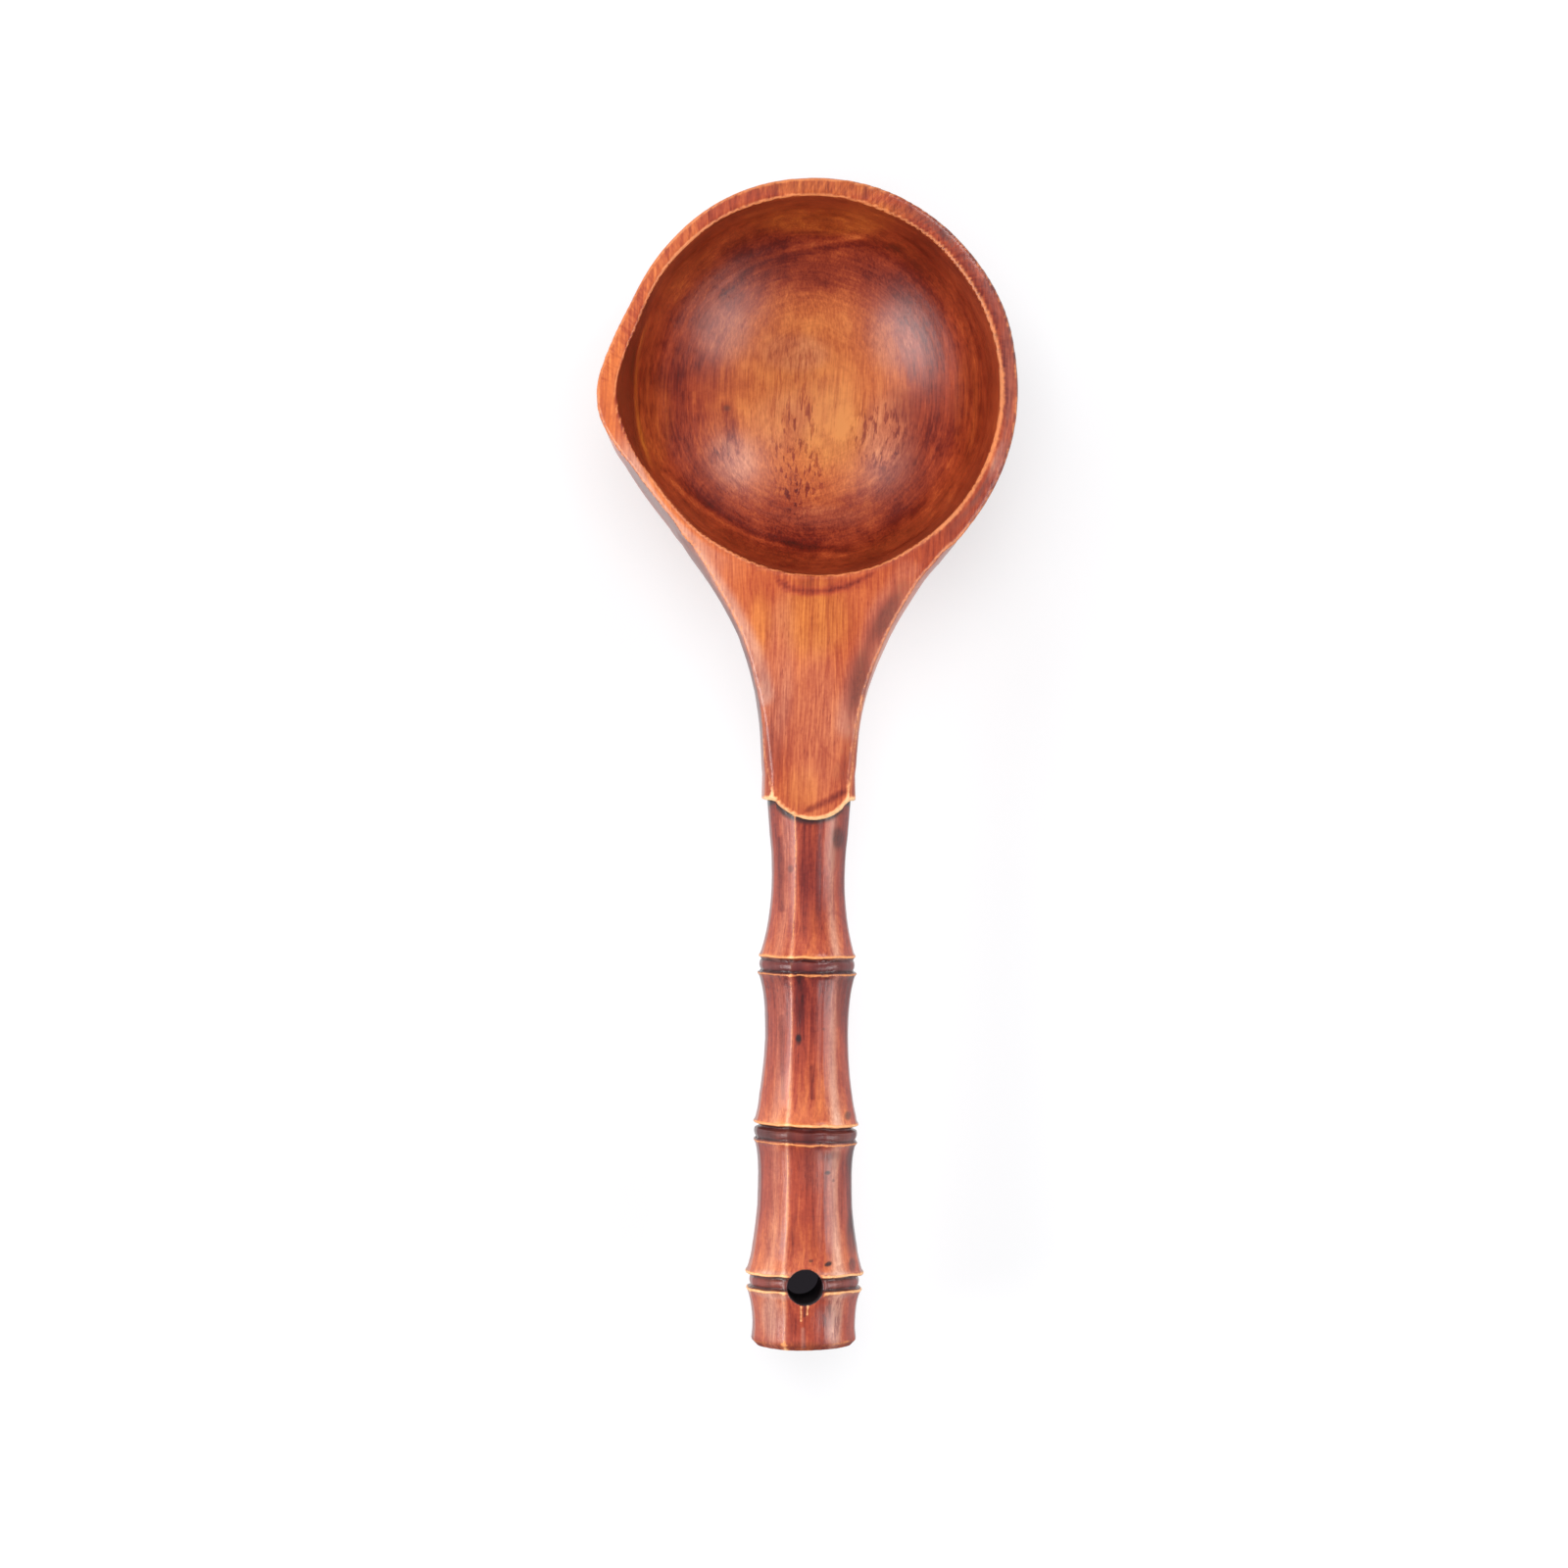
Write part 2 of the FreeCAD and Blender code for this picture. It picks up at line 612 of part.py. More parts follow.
def hanging_hole(body):
    """Bore the hole that the grip hangs by, straight down through its last node."""
    draft = Draft(body, "HangingHoleCircle", "XY_Plane", "lower_end_half + overrun")
    bore = draft.circle((0, -size("hang_hole_run")), size("hang_hole_radius"))
    draft.fix("PointOnObject", bore, CENTRE_INDEX, UP_AXIS_INDEX)
    draft.bind("hang_hole_run", "DistanceY", bore, CENTRE_INDEX, *ORIGIN)
    draft.bind("hang_hole_radius", "Radius", bore)
    return cut(body, "HangingHole", draft)


def handle():
    """Make the grip, cut like a cane with three nodes, with its tenon and hanging hole."""
    body = doc.addObject("PartDesign::Body", "handle")
    body.setExpression("Placement.Base.z", bound("grip_height"))
    stem(body, "UpperStem", "shoulder_run", [
        ("0", "top_half"),
        ("top_length", "upper_bend_half"),
        ("upper_waist_length", "upper_waist_half"),
        *flare("upper_flare_length", "upper_knee_half", "upper_lip_half"),
    ])
    nose_seat(body)
    tenon(body)
    node(body, "FirstNode", "upper_lip_run",
         "first_groove", "first_groove_half", "first_band", "first_band_half")
    stem(body, "MiddleStem", "middle_lip_run", [
        ("0", "middle_lip_half"),
        ("middle_top_length", "middle_top_half"),
        ("middle_waist_length", "middle_waist_half"),
        *flare("middle_flare_length", "middle_knee_half", "middle_end_half"),
    ])
    node(body, "SecondNode", "middle_end_run",
         "second_groove", "second_groove_half", "second_band", "second_band_half")
    stem(body, "LowerStem", "lower_lip_run", [
        ("0", "lower_lip_half"),
        ("lower_top_length", "lower_top_half"),
        ("lower_waist_length", "lower_waist_half"),
        *flare("lower_flare_length", "lower_knee_half", "lower_end_half"),
    ])
    node(body, "ThirdNode", "lower_end_run",
         "third_groove", "third_groove_half", "third_band", "third_band_half")
    stem(body, "Butt", "butt_lip_run", [
        ("0", "butt_lip_half"),
        ("butt_top_length", "butt_top_half"),
        ("butt_length", "butt_half"),
    ])
    stem(body, "ButtEnd", "butt_run", [("0", "butt_half"), ("butt_chamfer", "butt_half - butt_chamfer")])
    hanging_hole(body)
    return body


def check_and_export(bodies):
    """Stop on any broken feature or shape, then write one STEP file for each body."""
    doc.recompute()
    for item in doc.Objects:
        if "Invalid" in item.State or "Error" in item.State:
            raise RuntimeError(f"{item.Label} has the state {item.State}")
    os.makedirs("parts", exist_ok=True)
    for body in bodies:
        shape = body.Shape
        if shape.isNull() or not shape.isValid() or len(shape.Solids) != 1:
            raise RuntimeError(f"{body.Label} is not one valid solid")
        shape.exportStep(f"parts/{body.Label}.step")
        box = shape.BoundBox
        print(f"{body.Label}: {shape.Volume / 1000:.1f} cm3, {len(shape.Faces)} faces,"
              f" x {box.XMin:.1f} to {box.XMax:.1f}, y {box.YMin:.1f} to {box.YMax:.1f},"
              f" z {box.ZMin:.1f} to {box.ZMax:.1f}")


fill_sheet()
check_and_export([bowl_head(), handle()])
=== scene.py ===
"""Looks of the water dipper: carved wood under worn red-brown lacquer, in a bright plain studio."""

import json
import logging
import math
from dataclasses import dataclass
from enum import Enum
from typing import Callable, Optional, Sequence, Union

import bpy
import numpy as np
from mathutils import Matrix, Vector

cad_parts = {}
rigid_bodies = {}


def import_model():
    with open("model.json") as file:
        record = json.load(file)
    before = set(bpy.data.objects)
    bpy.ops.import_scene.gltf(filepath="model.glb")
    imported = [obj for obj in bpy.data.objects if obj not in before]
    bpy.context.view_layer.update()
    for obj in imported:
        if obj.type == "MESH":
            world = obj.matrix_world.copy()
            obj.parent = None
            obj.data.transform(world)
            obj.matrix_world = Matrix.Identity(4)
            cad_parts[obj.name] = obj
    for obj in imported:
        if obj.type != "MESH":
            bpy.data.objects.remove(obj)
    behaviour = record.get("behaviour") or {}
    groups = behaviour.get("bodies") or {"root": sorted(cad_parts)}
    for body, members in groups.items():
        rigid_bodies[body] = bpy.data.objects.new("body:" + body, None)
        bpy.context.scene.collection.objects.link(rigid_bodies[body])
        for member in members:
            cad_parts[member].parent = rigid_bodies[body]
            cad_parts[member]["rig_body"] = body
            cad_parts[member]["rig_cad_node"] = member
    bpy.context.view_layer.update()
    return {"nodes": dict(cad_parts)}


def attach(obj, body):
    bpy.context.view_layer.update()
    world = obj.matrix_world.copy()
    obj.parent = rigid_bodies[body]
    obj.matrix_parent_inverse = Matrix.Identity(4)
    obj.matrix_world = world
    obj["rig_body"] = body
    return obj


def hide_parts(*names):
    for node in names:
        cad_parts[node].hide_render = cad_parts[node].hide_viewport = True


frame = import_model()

MM = 0.001

Colour = tuple[float, float, float, float]
Number = Union[int, float]
Range = tuple[float, float]
Table = tuple[tuple[float, ...], ...]
Key = Union[int, str]
Socket = bpy.types.NodeSocket
Material = bpy.types.Material

WHITE = (1.0, 1.0, 1.0, 1.0)

log = logging.getLogger("dipper")


class Slot(Enum):
    """The record's material slots."""

    HEAD_WOOD = "head_wood"
    GRIP_WOOD = "grip_wood"


class Wash(Enum):
    """What the shaders read from a piece's vertices."""

    WEAR = "wear"
    # Painted shade: how far the surface dips, to darken it there.
    RECESS_SHADE = "recess"
    INSIDE = "inside"
    BAND = "band"
    GROOVE = "groove"
    TONE = "tone"
    OCHRE = "ochre"
    # A milky bloom, and painted sheen where the soft boxes gleam on the lacquer.
    BLOOM_AND_SHEEN = "blush"
    # Dark smudges and marks, and painted shade on shaded sides, edges and the hanging hole.
    SOOT_AND_SHADE = "soot"
    CREAM = "cream"
    DASH = "dash"
    HATCH = "hatch"


@dataclass(frozen=True)
class Dab:
    """A soft oval of stain, wear, painted shade or painted highlight, seen from above. Sizes are half of it,
    in millimetres.
    """

    wash: Wash
    share: float
    across: float
    along: float
    wide: float
    long: float
    turned: float = 0.0

    def cover(self, points: np.ndarray) -> np.ndarray:
        """Return how much of it lies on each point."""
        angle = math.radians(self.turned)
        apart = points[:, :2] - (self.across, self.along)
        side = (apart[:, 0] * math.cos(angle) + apart[:, 1] * math.sin(angle)) / self.wide
        way = (apart[:, 1] * math.cos(angle) - apart[:, 0] * math.sin(angle)) / self.long
        return swell(1.3, 0.5, np.hypot(side, way))


@dataclass(frozen=True)
class Stroke:
    """A line of stain, wear, painted shade or painted reflection through a few places, seen from above. Sizes
    are in millimetres.
    """

    wash: Wash
    share: float
    half: float
    places: Table

    def cover(self, points: np.ndarray) -> np.ndarray:
        """Return how much of it lies on each point."""
        nearest = np.full(len(points), np.inf)
        for start, end in zip(self.places, self.places[1:]):
            way = np.subtract(end, start)
            share = np.clip((points[:, :2] - start) @ way / (way @ way), 0, 1)
            nearest = np.minimum(nearest, np.hypot(*(points[:, :2] - start - share[:, None] * way).T))
        return swell(self.half * 1.5, self.half * 0.5, nearest)


Marks = tuple[Union[Dab, Stroke], ...]


def dabs(wash: Wash, *rows: Sequence[float]) -> tuple[Dab, ...]:
    """Make dabs of one wash from rows of their share, place, half sizes and turn."""
    return tuple(Dab(wash, *row) for row in rows)


def strokes(wash: Wash, *rows: Sequence) -> tuple[Stroke, ...]:
    """Make strokes of one wash from rows of their share, half width and places."""
    return tuple(Stroke(wash, share, half, tuple(places)) for share, half, *places in rows)


def stain(red: Number, green: Number, blue: Number) -> Colour:
    """Turn a colour as a screen shows it into the linear one that a shader takes.

    Args:
        red, green, blue: The colour's parts, from 0 to 255.

    Returns:
        The linear colour with an alpha of one.
    """
    parts = (part / 255 for part in (red, green, blue))
    linear = [part / 12.92 if part <= 0.04045 else ((part + 0.055) / 1.055) ** 2.4 for part in parts]
    return (linear[0], linear[1], linear[2], 1.0)


def operator(kind: str, turned: bool = False) -> Callable:
    """Make a method that adds a Math node on a value and what it is given, or the other way round."""
    def method(value: "Value", *others: "Term") -> "Value":
        terms = (value, *others)
        return value.shader.maths(kind, *(terms[::-1] if turned else terms))
    return method


class Value:
    """A number that changes over a surface, wrapped so that maths on it adds nodes."""

    def __init__(self, shader: "Shader", socket: Socket) -> None:
        """Keep the socket and the shader that it belongs to."""
        self.shader = shader
        self.socket = socket

    __add__ = __radd__ = operator("ADD")
    __mul__ = __rmul__ = operator("MULTIPLY")
    __sub__ = operator("SUBTRACT")
    __rsub__ = operator("SUBTRACT", turned=True)
    __pow__ = operator("POWER")
    __abs__ = operator("ABSOLUTE")
    most = operator("MAXIMUM")


Term = Union[Value, Number]


def span(first: Value, second: Value) -> Value:
    """Return the long side of a right-angled triangle from its short ones."""
    return (first * first + second * second) ** 0.5


class Shader:
    """The nodes of one material or one world."""

    def __init__(self, owner: Union[Material, bpy.types.World]) -> None:
        """Clear the nodes of a material or a world."""
        self.owner = owner
        owner.use_nodes = True
        self.tree = owner.node_tree
        self.tree.nodes.clear()

    def node(self, kind: str, sockets: Optional[dict] = None, **settings: object) -> bpy.types.Node:
        """Add a node, set it up and then fill or link its sockets.

        Args:
            kind: The node's type.
            sockets: Its inputs by name or number, each a value, a Value or a socket.
            settings: Its properties by name.

        Returns:
            The node.
        """
        made = self.tree.nodes.new(kind)
        for key, setting in settings.items():
            setattr(made, key, setting)
        for key, given in (sockets or {}).items():
            if isinstance(given, Value):
                given = given.socket
            if isinstance(given, Socket):
                self.tree.links.new(given, made.inputs[key])
            else:
                made.inputs[key].default_value = given
        return made

    def value(self, kind: str, output: Key, sockets: Optional[dict] = None, **settings: object) -> Value:
        """Add a node and return one of its outputs."""
        return Value(self, self.node(kind, sockets, **settings).outputs[output])

    def close(self, kind: str, surface: bpy.types.Node) -> None:
        """Add the output node and link what it shows."""
        self.node(kind, {"Surface": surface.outputs[0]})

    def maths(self, operation: str, *terms: Term) -> Value:
        """Add a Math node for an operation on one or two terms, and return its result."""
        return self.value("ShaderNodeMath", 0, dict(enumerate(terms)), operation=operation)

    def vector(self, operation: str, *terms: object) -> Socket:
        """Add a Vector Math node for an operation on triples or sockets, and return its vector."""
        return self.node("ShaderNodeVectorMath", dict(enumerate(terms)), operation=operation).outputs[0]

    def scaled(self, vector: object, across: float, along: float, up: float) -> Socket:
        """Scale a vector along each axis."""
        return self.vector("MULTIPLY", vector, (across, along, up))

    def joined(self, across: Term, along: Term, up: Term) -> Socket:
        """Join three numbers in one vector."""
        return self.node("ShaderNodeCombineXYZ", {0: across, 1: along, 2: up}).outputs[0]

    def parts(self, vector: Socket) -> list[Value]:
        """Split a vector in its three numbers."""
        return [Value(self, socket) for socket in self.node("ShaderNodeSeparateXYZ", {0: vector}).outputs]

    def mix(self, share: Term, first: object, second: object) -> Socket:
        """Lay a share of a second colour over a first, each a colour or a socket, and return the mix."""
        return self.node("ShaderNodeMix", {0: share, 6: first, 7: second}, data_type="RGBA").outputs[2]

    def noise(self, place: object, scale: float, detail: float = 3.0, rough: float = 0.5) -> Value:
        """Return smooth noise between about -0.3 and 0.3.

        Args:
            place: The vector that it is read at.
            scale: Waves to a unit of that vector.
            detail: How many finer layers it has.
            rough: How strong these are.

        Returns:
            The noise.
        """
        sockets = {"Vector": place, "Scale": scale, "Detail": detail, "Roughness": rough}
        return self.value("ShaderNodeTexNoise", "Fac", sockets) - 0.5

    def slide(self, value: Term, low: float, high: float, start: float = 0.0, end: float = 1.0) -> Value:
        """Map a number smoothly from one range to another and stop at its ends.

        Args:
            value: The number.
            low, high: Where the slide starts and ends.
            start, end: What it gives there.

        Returns:
            The mapped number.
        """
        sockets = {"Value": value, "From Min": low, "From Max": high, "To Min": start, "To Max": end}
        return self.value("ShaderNodeMapRange", 0, sockets, interpolation_type="SMOOTHSTEP")

    def ramp(self, value: Term, colours: Sequence[Colour]) -> Socket:
        """Turn a number from nothing to one into a colour along an even row of them."""
        made = self.node("ShaderNodeValToRGB", {0: value})
        stops = made.color_ramp.elements
        while len(stops) < len(colours):
            stops.new(0.5)
        for number, (stop, colour) in enumerate(zip(stops, colours)):
            stop.position = number / (len(colours) - 1)
            stop.color = colour
        return made.outputs[0]

    def wash(self, name: Wash) -> Value:
        """Read one of the piece's vertex values."""
        return self.value("ShaderNodeAttribute", "Fac", attribute_type="GEOMETRY", attribute_name=name.value)


class Carving:
    """A piece copied from a solid and carved finer: its points, edges and vertex values."""

    def __init__(self, node: str, name: str, grain: float, passes: int) -> None:
        """Copy a solid's mesh, merge it and lay an even fine mesh over it.

        Args:
            node: The CAD node's name.
            name: The new piece's name.
            grain: Size of the fine mesh, in millimetres.
            passes: How often its edges are rubbed round.
        """
        source = frame["nodes"][node]
        self.piece = source.copy()
        self.piece.data = source.data.copy()
        self.piece.name = name
        self.piece.data.name = name
        self.piece.parent = None
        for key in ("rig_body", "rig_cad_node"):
            del self.piece[key]
        bpy.context.scene.collection.objects.link(self.piece)
        self.piece.data.materials.clear()
        self.merge()
        self.remesh(grain, passes, source)
        self.read()

    def pick(self) -> None:
        """Select this piece and nothing else."""
        bpy.ops.object.select_all(action="DESELECT")
        self.piece.select_set(True)
        bpy.context.view_layer.objects.active = self.piece

    def merge(self) -> None:
        """Join the loose triangles of the copy."""
        self.pick()
        bpy.ops.object.mode_set(mode="EDIT")
        bpy.ops.mesh.select_all(action="SELECT")
        bpy.ops.mesh.customdata_custom_splitnormals_clear()
        bpy.ops.mesh.remove_doubles(threshold=0.001 * MM)
        bpy.ops.object.mode_set(mode="OBJECT")

    def modify(self, kind: str, **settings: object) -> None:
        """Add a modifier, set it up and apply it."""
        bpy.ops.object.modifier_add(type=kind)
        made = self.piece.modifiers[-1]
        for key, setting in settings.items():
            setattr(made, key, setting)
        bpy.ops.object.modifier_apply(modifier=made.name)

    def remesh(self, grain: float, passes: int, solid: bpy.types.Object) -> None:
        """Lay an even mesh over the piece, rub it smooth and draw it back onto the solid.

        Args:
            grain: Size of the mesh, in millimetres.
            passes: How often it is rubbed.
            solid: What it is drawn back onto.
        """
        self.pick()
        self.modify("REMESH", mode="VOXEL", voxel_size=grain * MM, use_smooth_shade=True)
        self.modify("SMOOTH", factor=0.5, iterations=passes)
        self.modify("SHRINKWRAP", target=solid, wrap_method="NEAREST_SURFACEPOINT")

    def read(self) -> None:
        """Read the points, in millimetres, their normals and the edges between them."""
        mesh = self.piece.data
        count = len(mesh.vertices)
        flat = np.empty(count * 3, np.float32)
        mesh.vertices.foreach_get("co", flat)
        self.points = flat.reshape(-1, 3).astype(float) / MM
        mesh.vertex_normals.foreach_get("vector", flat)
        self.normals = flat.reshape(-1, 3).astype(float)
        ends = np.empty(len(mesh.edges) * 2, np.int32)
        mesh.edges.foreach_get("vertices", ends)
        self.ends = ends.reshape(-1, 2)
        self.near = np.maximum(np.bincount(self.ends.ravel(), minlength=count), 1)

    def write(self) -> None:
        """Write the points back and read the normals again."""
        self.piece.data.vertices.foreach_set("co", (self.points * MM).astype(np.float32).ravel())
        self.piece.data.update()
        self.read()

    def spread(self, values: np.ndarray, passes: int) -> np.ndarray:
        """Average vertex values over the points around, again and again.

        Args:
            values: One value or one row of values to a point.
            passes: How often.

        Returns:
            The averaged values.
        """
        count = len(values)
        rows = values.reshape(count, -1)
        first, second = self.ends[:, 0], self.ends[:, 1]
        for _ in range(passes):
            columns = []
            for column in rows.T:
                total = np.bincount(first, column[second], count) + np.bincount(second, column[first], count)
                columns.append((column + total / self.near) / 2)
            rows = np.stack(columns, axis=1)
        return rows.reshape(values.shape)

    def proud(self, passes: int) -> np.ndarray:
        """Return how far each point stands proud of its surroundings, in millimetres."""
        apart = self.points - self.spread(self.points, passes)
        return np.einsum("ij,ij->i", apart, self.normals)

    def keep(self, name: Wash, values: np.ndarray) -> None:
        """Store a vertex value for the shaders to read."""
        mesh = self.piece.data
        held = mesh.attributes.get(name.value) or mesh.attributes.new(name.value, "FLOAT", "POINT")
        held.data.foreach_set("value", np.clip(values, 0, 1).astype(np.float32))

    def paint(self, base: dict[Wash, np.ndarray], marks: Marks, where: np.ndarray) -> None:
        """Lay marks over the vertex values and store them all.

        Args:
            base: What each wash is before the marks.
            marks: Dabs and strokes seen from above.
            where: How far each point takes them.
        """
        washes = {wash: np.zeros(len(self.points)) for wash in Wash}
        washes.update(base)
        for mark in marks:
            washes[mark.wash] = washes[mark.wash] + mark.share * mark.cover(self.points) * where
        for wash, values in washes.items():
            self.keep(wash, values)

    def finish(self, material: Material, slot: Slot, node: str) -> bpy.types.Object:
        """Dress the piece and let it stand for its solid.

        Args:
            material: What it is dressed in.
            slot: The record's material slot; not used.
            node: The CAD node that it stands for.

        Returns:
            The finished piece.
        """
        self.piece.data.materials.append(material)
        self.pick()
        bpy.ops.object.shade_smooth()
        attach(self.piece, "root")
        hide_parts(node)
        log.info("%s: %d faces", self.piece.name, len(self.piece.data.polygons))
        return self.piece


def swell(low: float, high: float, values: np.ndarray) -> np.ndarray:
    """Rise smoothly from nothing at one value to one at another.

    Args:
        low: Where the rise starts.
        high: Where it ends.
        values: What is mapped.

    Returns:
        Shares from nothing to one.
    """
    share = np.clip((values - low) / (high - low), 0, 1)
    return share * share * (3 - 2 * share)


def bump(values: np.ndarray, middle: float, half: float) -> np.ndarray:
    """Rise smoothly to one at a value and fall again.

    Args:
        values: What is mapped.
        middle: Where the bump is highest.
        half: How far from there it has fallen to a third.

    Returns:
        Shares from nothing to one.
    """
    return np.exp(-((values - middle) / half) ** 2)


def ripple(points: np.ndarray, waves: Table) -> np.ndarray:
    """Add up a few crossing waves, as the uneven cuts of a knife.

    Args:
        points: Places in millimetres.
        waves: For each wave its turns per millimetre in x, y and z, and its start.

    Returns:
        The mean of the waves at each place, between -1 and 1.
    """
    total = np.zeros(len(points))
    for across, along, up, start in waves:
        total += np.sin(points @ np.array((across, along, up)) * math.tau + start)
    return total / len(waves)


def eased(places: np.ndarray, table: Table, soften: int = 4) -> np.ndarray:
    """Read a smooth closed curve round the scoop that passes near a few values.

    Args:
        places: Where it is read, in degrees round the scoop.
        table: Pairs of a place in degrees and the value there.
        soften: Degrees over which its corners are rubbed round.

    Returns:
        The curve's value at each place.
    """
    turns, goals = zip(*table)
    ring = np.interp(np.arange(360), turns, goals, period=360)
    for _ in range(3):
        ring = sum(np.roll(ring, step) for step in range(-soften, soften + 1)) / (2 * soften + 1)
    return np.interp(places % 360, np.arange(360), ring, period=360)


def sideways(points: np.ndarray, table: Table) -> np.ndarray:
    """Return how far the hand-cut sides leave the drawn ones, across the neck and the grip.

    Args:
        points: The piece's points.
        table: A run along the piece, and how far its left and its right side move there.

    Returns:
        A move along X for each point.
    """
    runs, lefts, rights = zip(*table)
    places, across = -points[:, 1], points[:, 0]
    move = np.where(across < 0, np.interp(places, runs, lefts), np.interp(places, runs, rights))
    return move * swell(2.0, 9.0, np.abs(across))


@dataclass(frozen=True)
class WoodFinish:
    """The stains, the bare wood and the gloss of one piece of lacquered wood.

    The stains go from the darkest tone to the lightest: red where the lacquer is plain, ochre where
    the wood shows yellow through it, and bloom and sheen where it has a milky bloom or a painted sheen.
    """

    name: str
    red: tuple[Colour, ...]
    ochre: tuple[Colour, ...]
    blush: tuple[Colour, ...]
    bare: Colour
    cream: Colour
    # The colour of dark smudges and marks, also used for painted shade.
    soot: Colour
    pith_across: float
    pith_up: float
    ring_wander: float
    roughness: float
    coat: float


OCHRE_STAIN = (
    stain(72, 22, 6), stain(124, 52, 14), stain(176, 90, 28), stain(218, 132, 56), stain(248, 170, 88))
# Milky bloom, and painted sheen of reflected light.
BLOOM_AND_SHEEN_STAIN = (
    stain(66, 34, 34), stain(116, 66, 60), stain(166, 104, 90), stain(208, 150, 128), stain(240, 196, 172))

HEAD_FINISH = WoodFinish(
    name="head_lacquer",
    red=(stain(60, 11, 6), stain(110, 25, 11), stain(164, 64, 32), stain(208, 108, 54), stain(242, 150, 78)),
    ochre=OCHRE_STAIN, blush=BLOOM_AND_SHEEN_STAIN,
    bare=stain(232, 142, 86), cream=stain(248, 206, 150), soot=stain(84, 44, 40),
    pith_across=9.0, pith_up=-62.0, ring_wander=7.0, roughness=0.38, coat=0.4)

GRIP_FINISH = WoodFinish(
    name="grip_lacquer",
    red=(stain(60, 14, 16), stain(112, 32, 26), stain(164, 66, 44), stain(206, 108, 64), stain(238, 150, 86)),
    ochre=OCHRE_STAIN, blush=BLOOM_AND_SHEEN_STAIN,
    bare=stain(234, 150, 88), cream=stain(252, 210, 152), soot=stain(48, 26, 30),
    pith_across=-26.0, pith_up=4.0, ring_wander=5.0, roughness=0.36, coat=0.3)


class Wood(Shader):
    """Lacquered wood with its grain along Y, read from places in the solid wood."""

    def __init__(self, finish: WoodFinish) -> None:
        """Lay down what every wooden piece has: grain, rings, pores and clouds.

        Args:
            finish: The wood's finish.
        """
        super().__init__(bpy.data.materials.new(finish.name))
        self.finish = finish
        self.whole = self.scaled(self.node("ShaderNodeTexCoord").outputs["Object"], 1 / MM, 1 / MM, 1 / MM)
        self.across, self.along, self.up = self.parts(self.whole)
        drift = self.node("ShaderNodeTexNoise", {
            "Vector": self.scaled(self.whole, 1, 0.35, 1), "Scale": 0.035, "Detail": 2.0}).outputs["Color"]
        middle = self.vector("SUBTRACT", drift, (0.5, 0.5, 0.5))
        wander = self.scaled(middle, finish.ring_wander, 0, finish.ring_wander)
        self.bent = self.vector("ADD", self.whole, wander)
        self.fibre = self.noise(self.scaled(self.bent, 2.6, 0.11, 2.6), 1.0, 3.0, 0.6)
        self.streak = self.noise(self.scaled(self.bent, 0.55, 0.022, 0.55), 1.0, 3.0, 0.55)
        self.cloud = self.noise(self.scaled(self.whole, 1, 0.6, 1), 0.06, 3.0, 0.55)
        self.speck = self.noise(self.whole, 1.3, 2.0, 0.6)
        self.rings = self.ring_lines()
        self.pores = self.pore_dashes()

    def ring_lines(self) -> Value:
        """Return the thin dark lines where a year's growth ends, uneven in strength."""
        across, _, up = self.parts(self.bent)
        from_pith = span(across - self.finish.pith_across, up - self.finish.pith_up)
        sockets = {"W": from_pith, "Scale": 0.42, "Detail": 3.0, "Roughness": 0.62}
        coarse = self.value("ShaderNodeTexNoise", "Fac", sockets, noise_dimensions="1D")
        return self.slide(abs(coarse - 0.5), 0.0, 0.045, 1.0, 0.0)

    def pore_dashes(self) -> Value:
        """Return the short dark dashes of open pores along the grain."""
        sockets = {"Vector": self.scaled(self.bent, 1.9, 0.34, 1.9), "Scale": 1.0, "Randomness": 1.0}
        near = self.value("ShaderNodeTexVoronoi", "Distance", sockets)
        crowd = self.slide(self.noise(self.whole, 0.16, 2.0), -0.08, 0.12)
        return self.slide(near, 0.14, 0.3, 1.0, 0.0) * crowd

    def dashes(self) -> Value:
        """Return crowded dark dashes along the grain, where the piece is marked with them."""
        lines = self.noise(self.scaled(self.bent, 0.95, 0.17, 0.95), 1.0, 3.0, 0.6)
        return self.slide(lines, 0.02, 0.1) * self.wash(Wash.DASH)

    def round_scoop(self) -> tuple[Value, Value]:
        """Return how far out from the scoop's axis and at what turn round it each place lies."""
        return span(self.across, self.along), self.maths("ARCTAN2", self.along, self.across)

    def hatching(self) -> Value:
        """Return the short lines that the scraper left across the rim."""
        out, turn = self.round_scoop()
        lines = self.noise(self.joined(turn * 46 + out * 0.5, out * 0.22, self.up * 0.2), 1.0, 2.0, 0.6)
        return self.slide(lines, -0.08, 0.12) * self.wash(Wash.HATCH)

    def stained(self, tone: Value) -> Socket:
        """Turn a tone from nothing to one into the colour of the stained wood.

        Args:
            tone: How light the wood is.

        Returns:
            Its colour, with the ochre, the milky bloom and painted sheen, and the dark marks and painted
            shade on it.
        """
        finish = self.finish
        loose = self.cloud * 0.8
        ochre = self.slide(self.wash(Wash.OCHRE) + self.streak * 0.5 + loose * 0.5, 0.1, 1.1)
        blush = self.slide(self.wash(Wash.BLOOM_AND_SHEEN) + loose * 0.4, 0.0, 1.0)
        soot = self.slide(self.wash(Wash.SOOT_AND_SHADE) + self.speck * 0.35 + self.fibre * 0.3, 0.1, 0.9)
        colour = self.mix(ochre, self.ramp(tone, finish.red), self.ramp(tone, finish.ochre))
        colour = self.mix(blush, colour, self.ramp(tone, finish.blush))
        return self.mix(soot, colour, finish.soot)

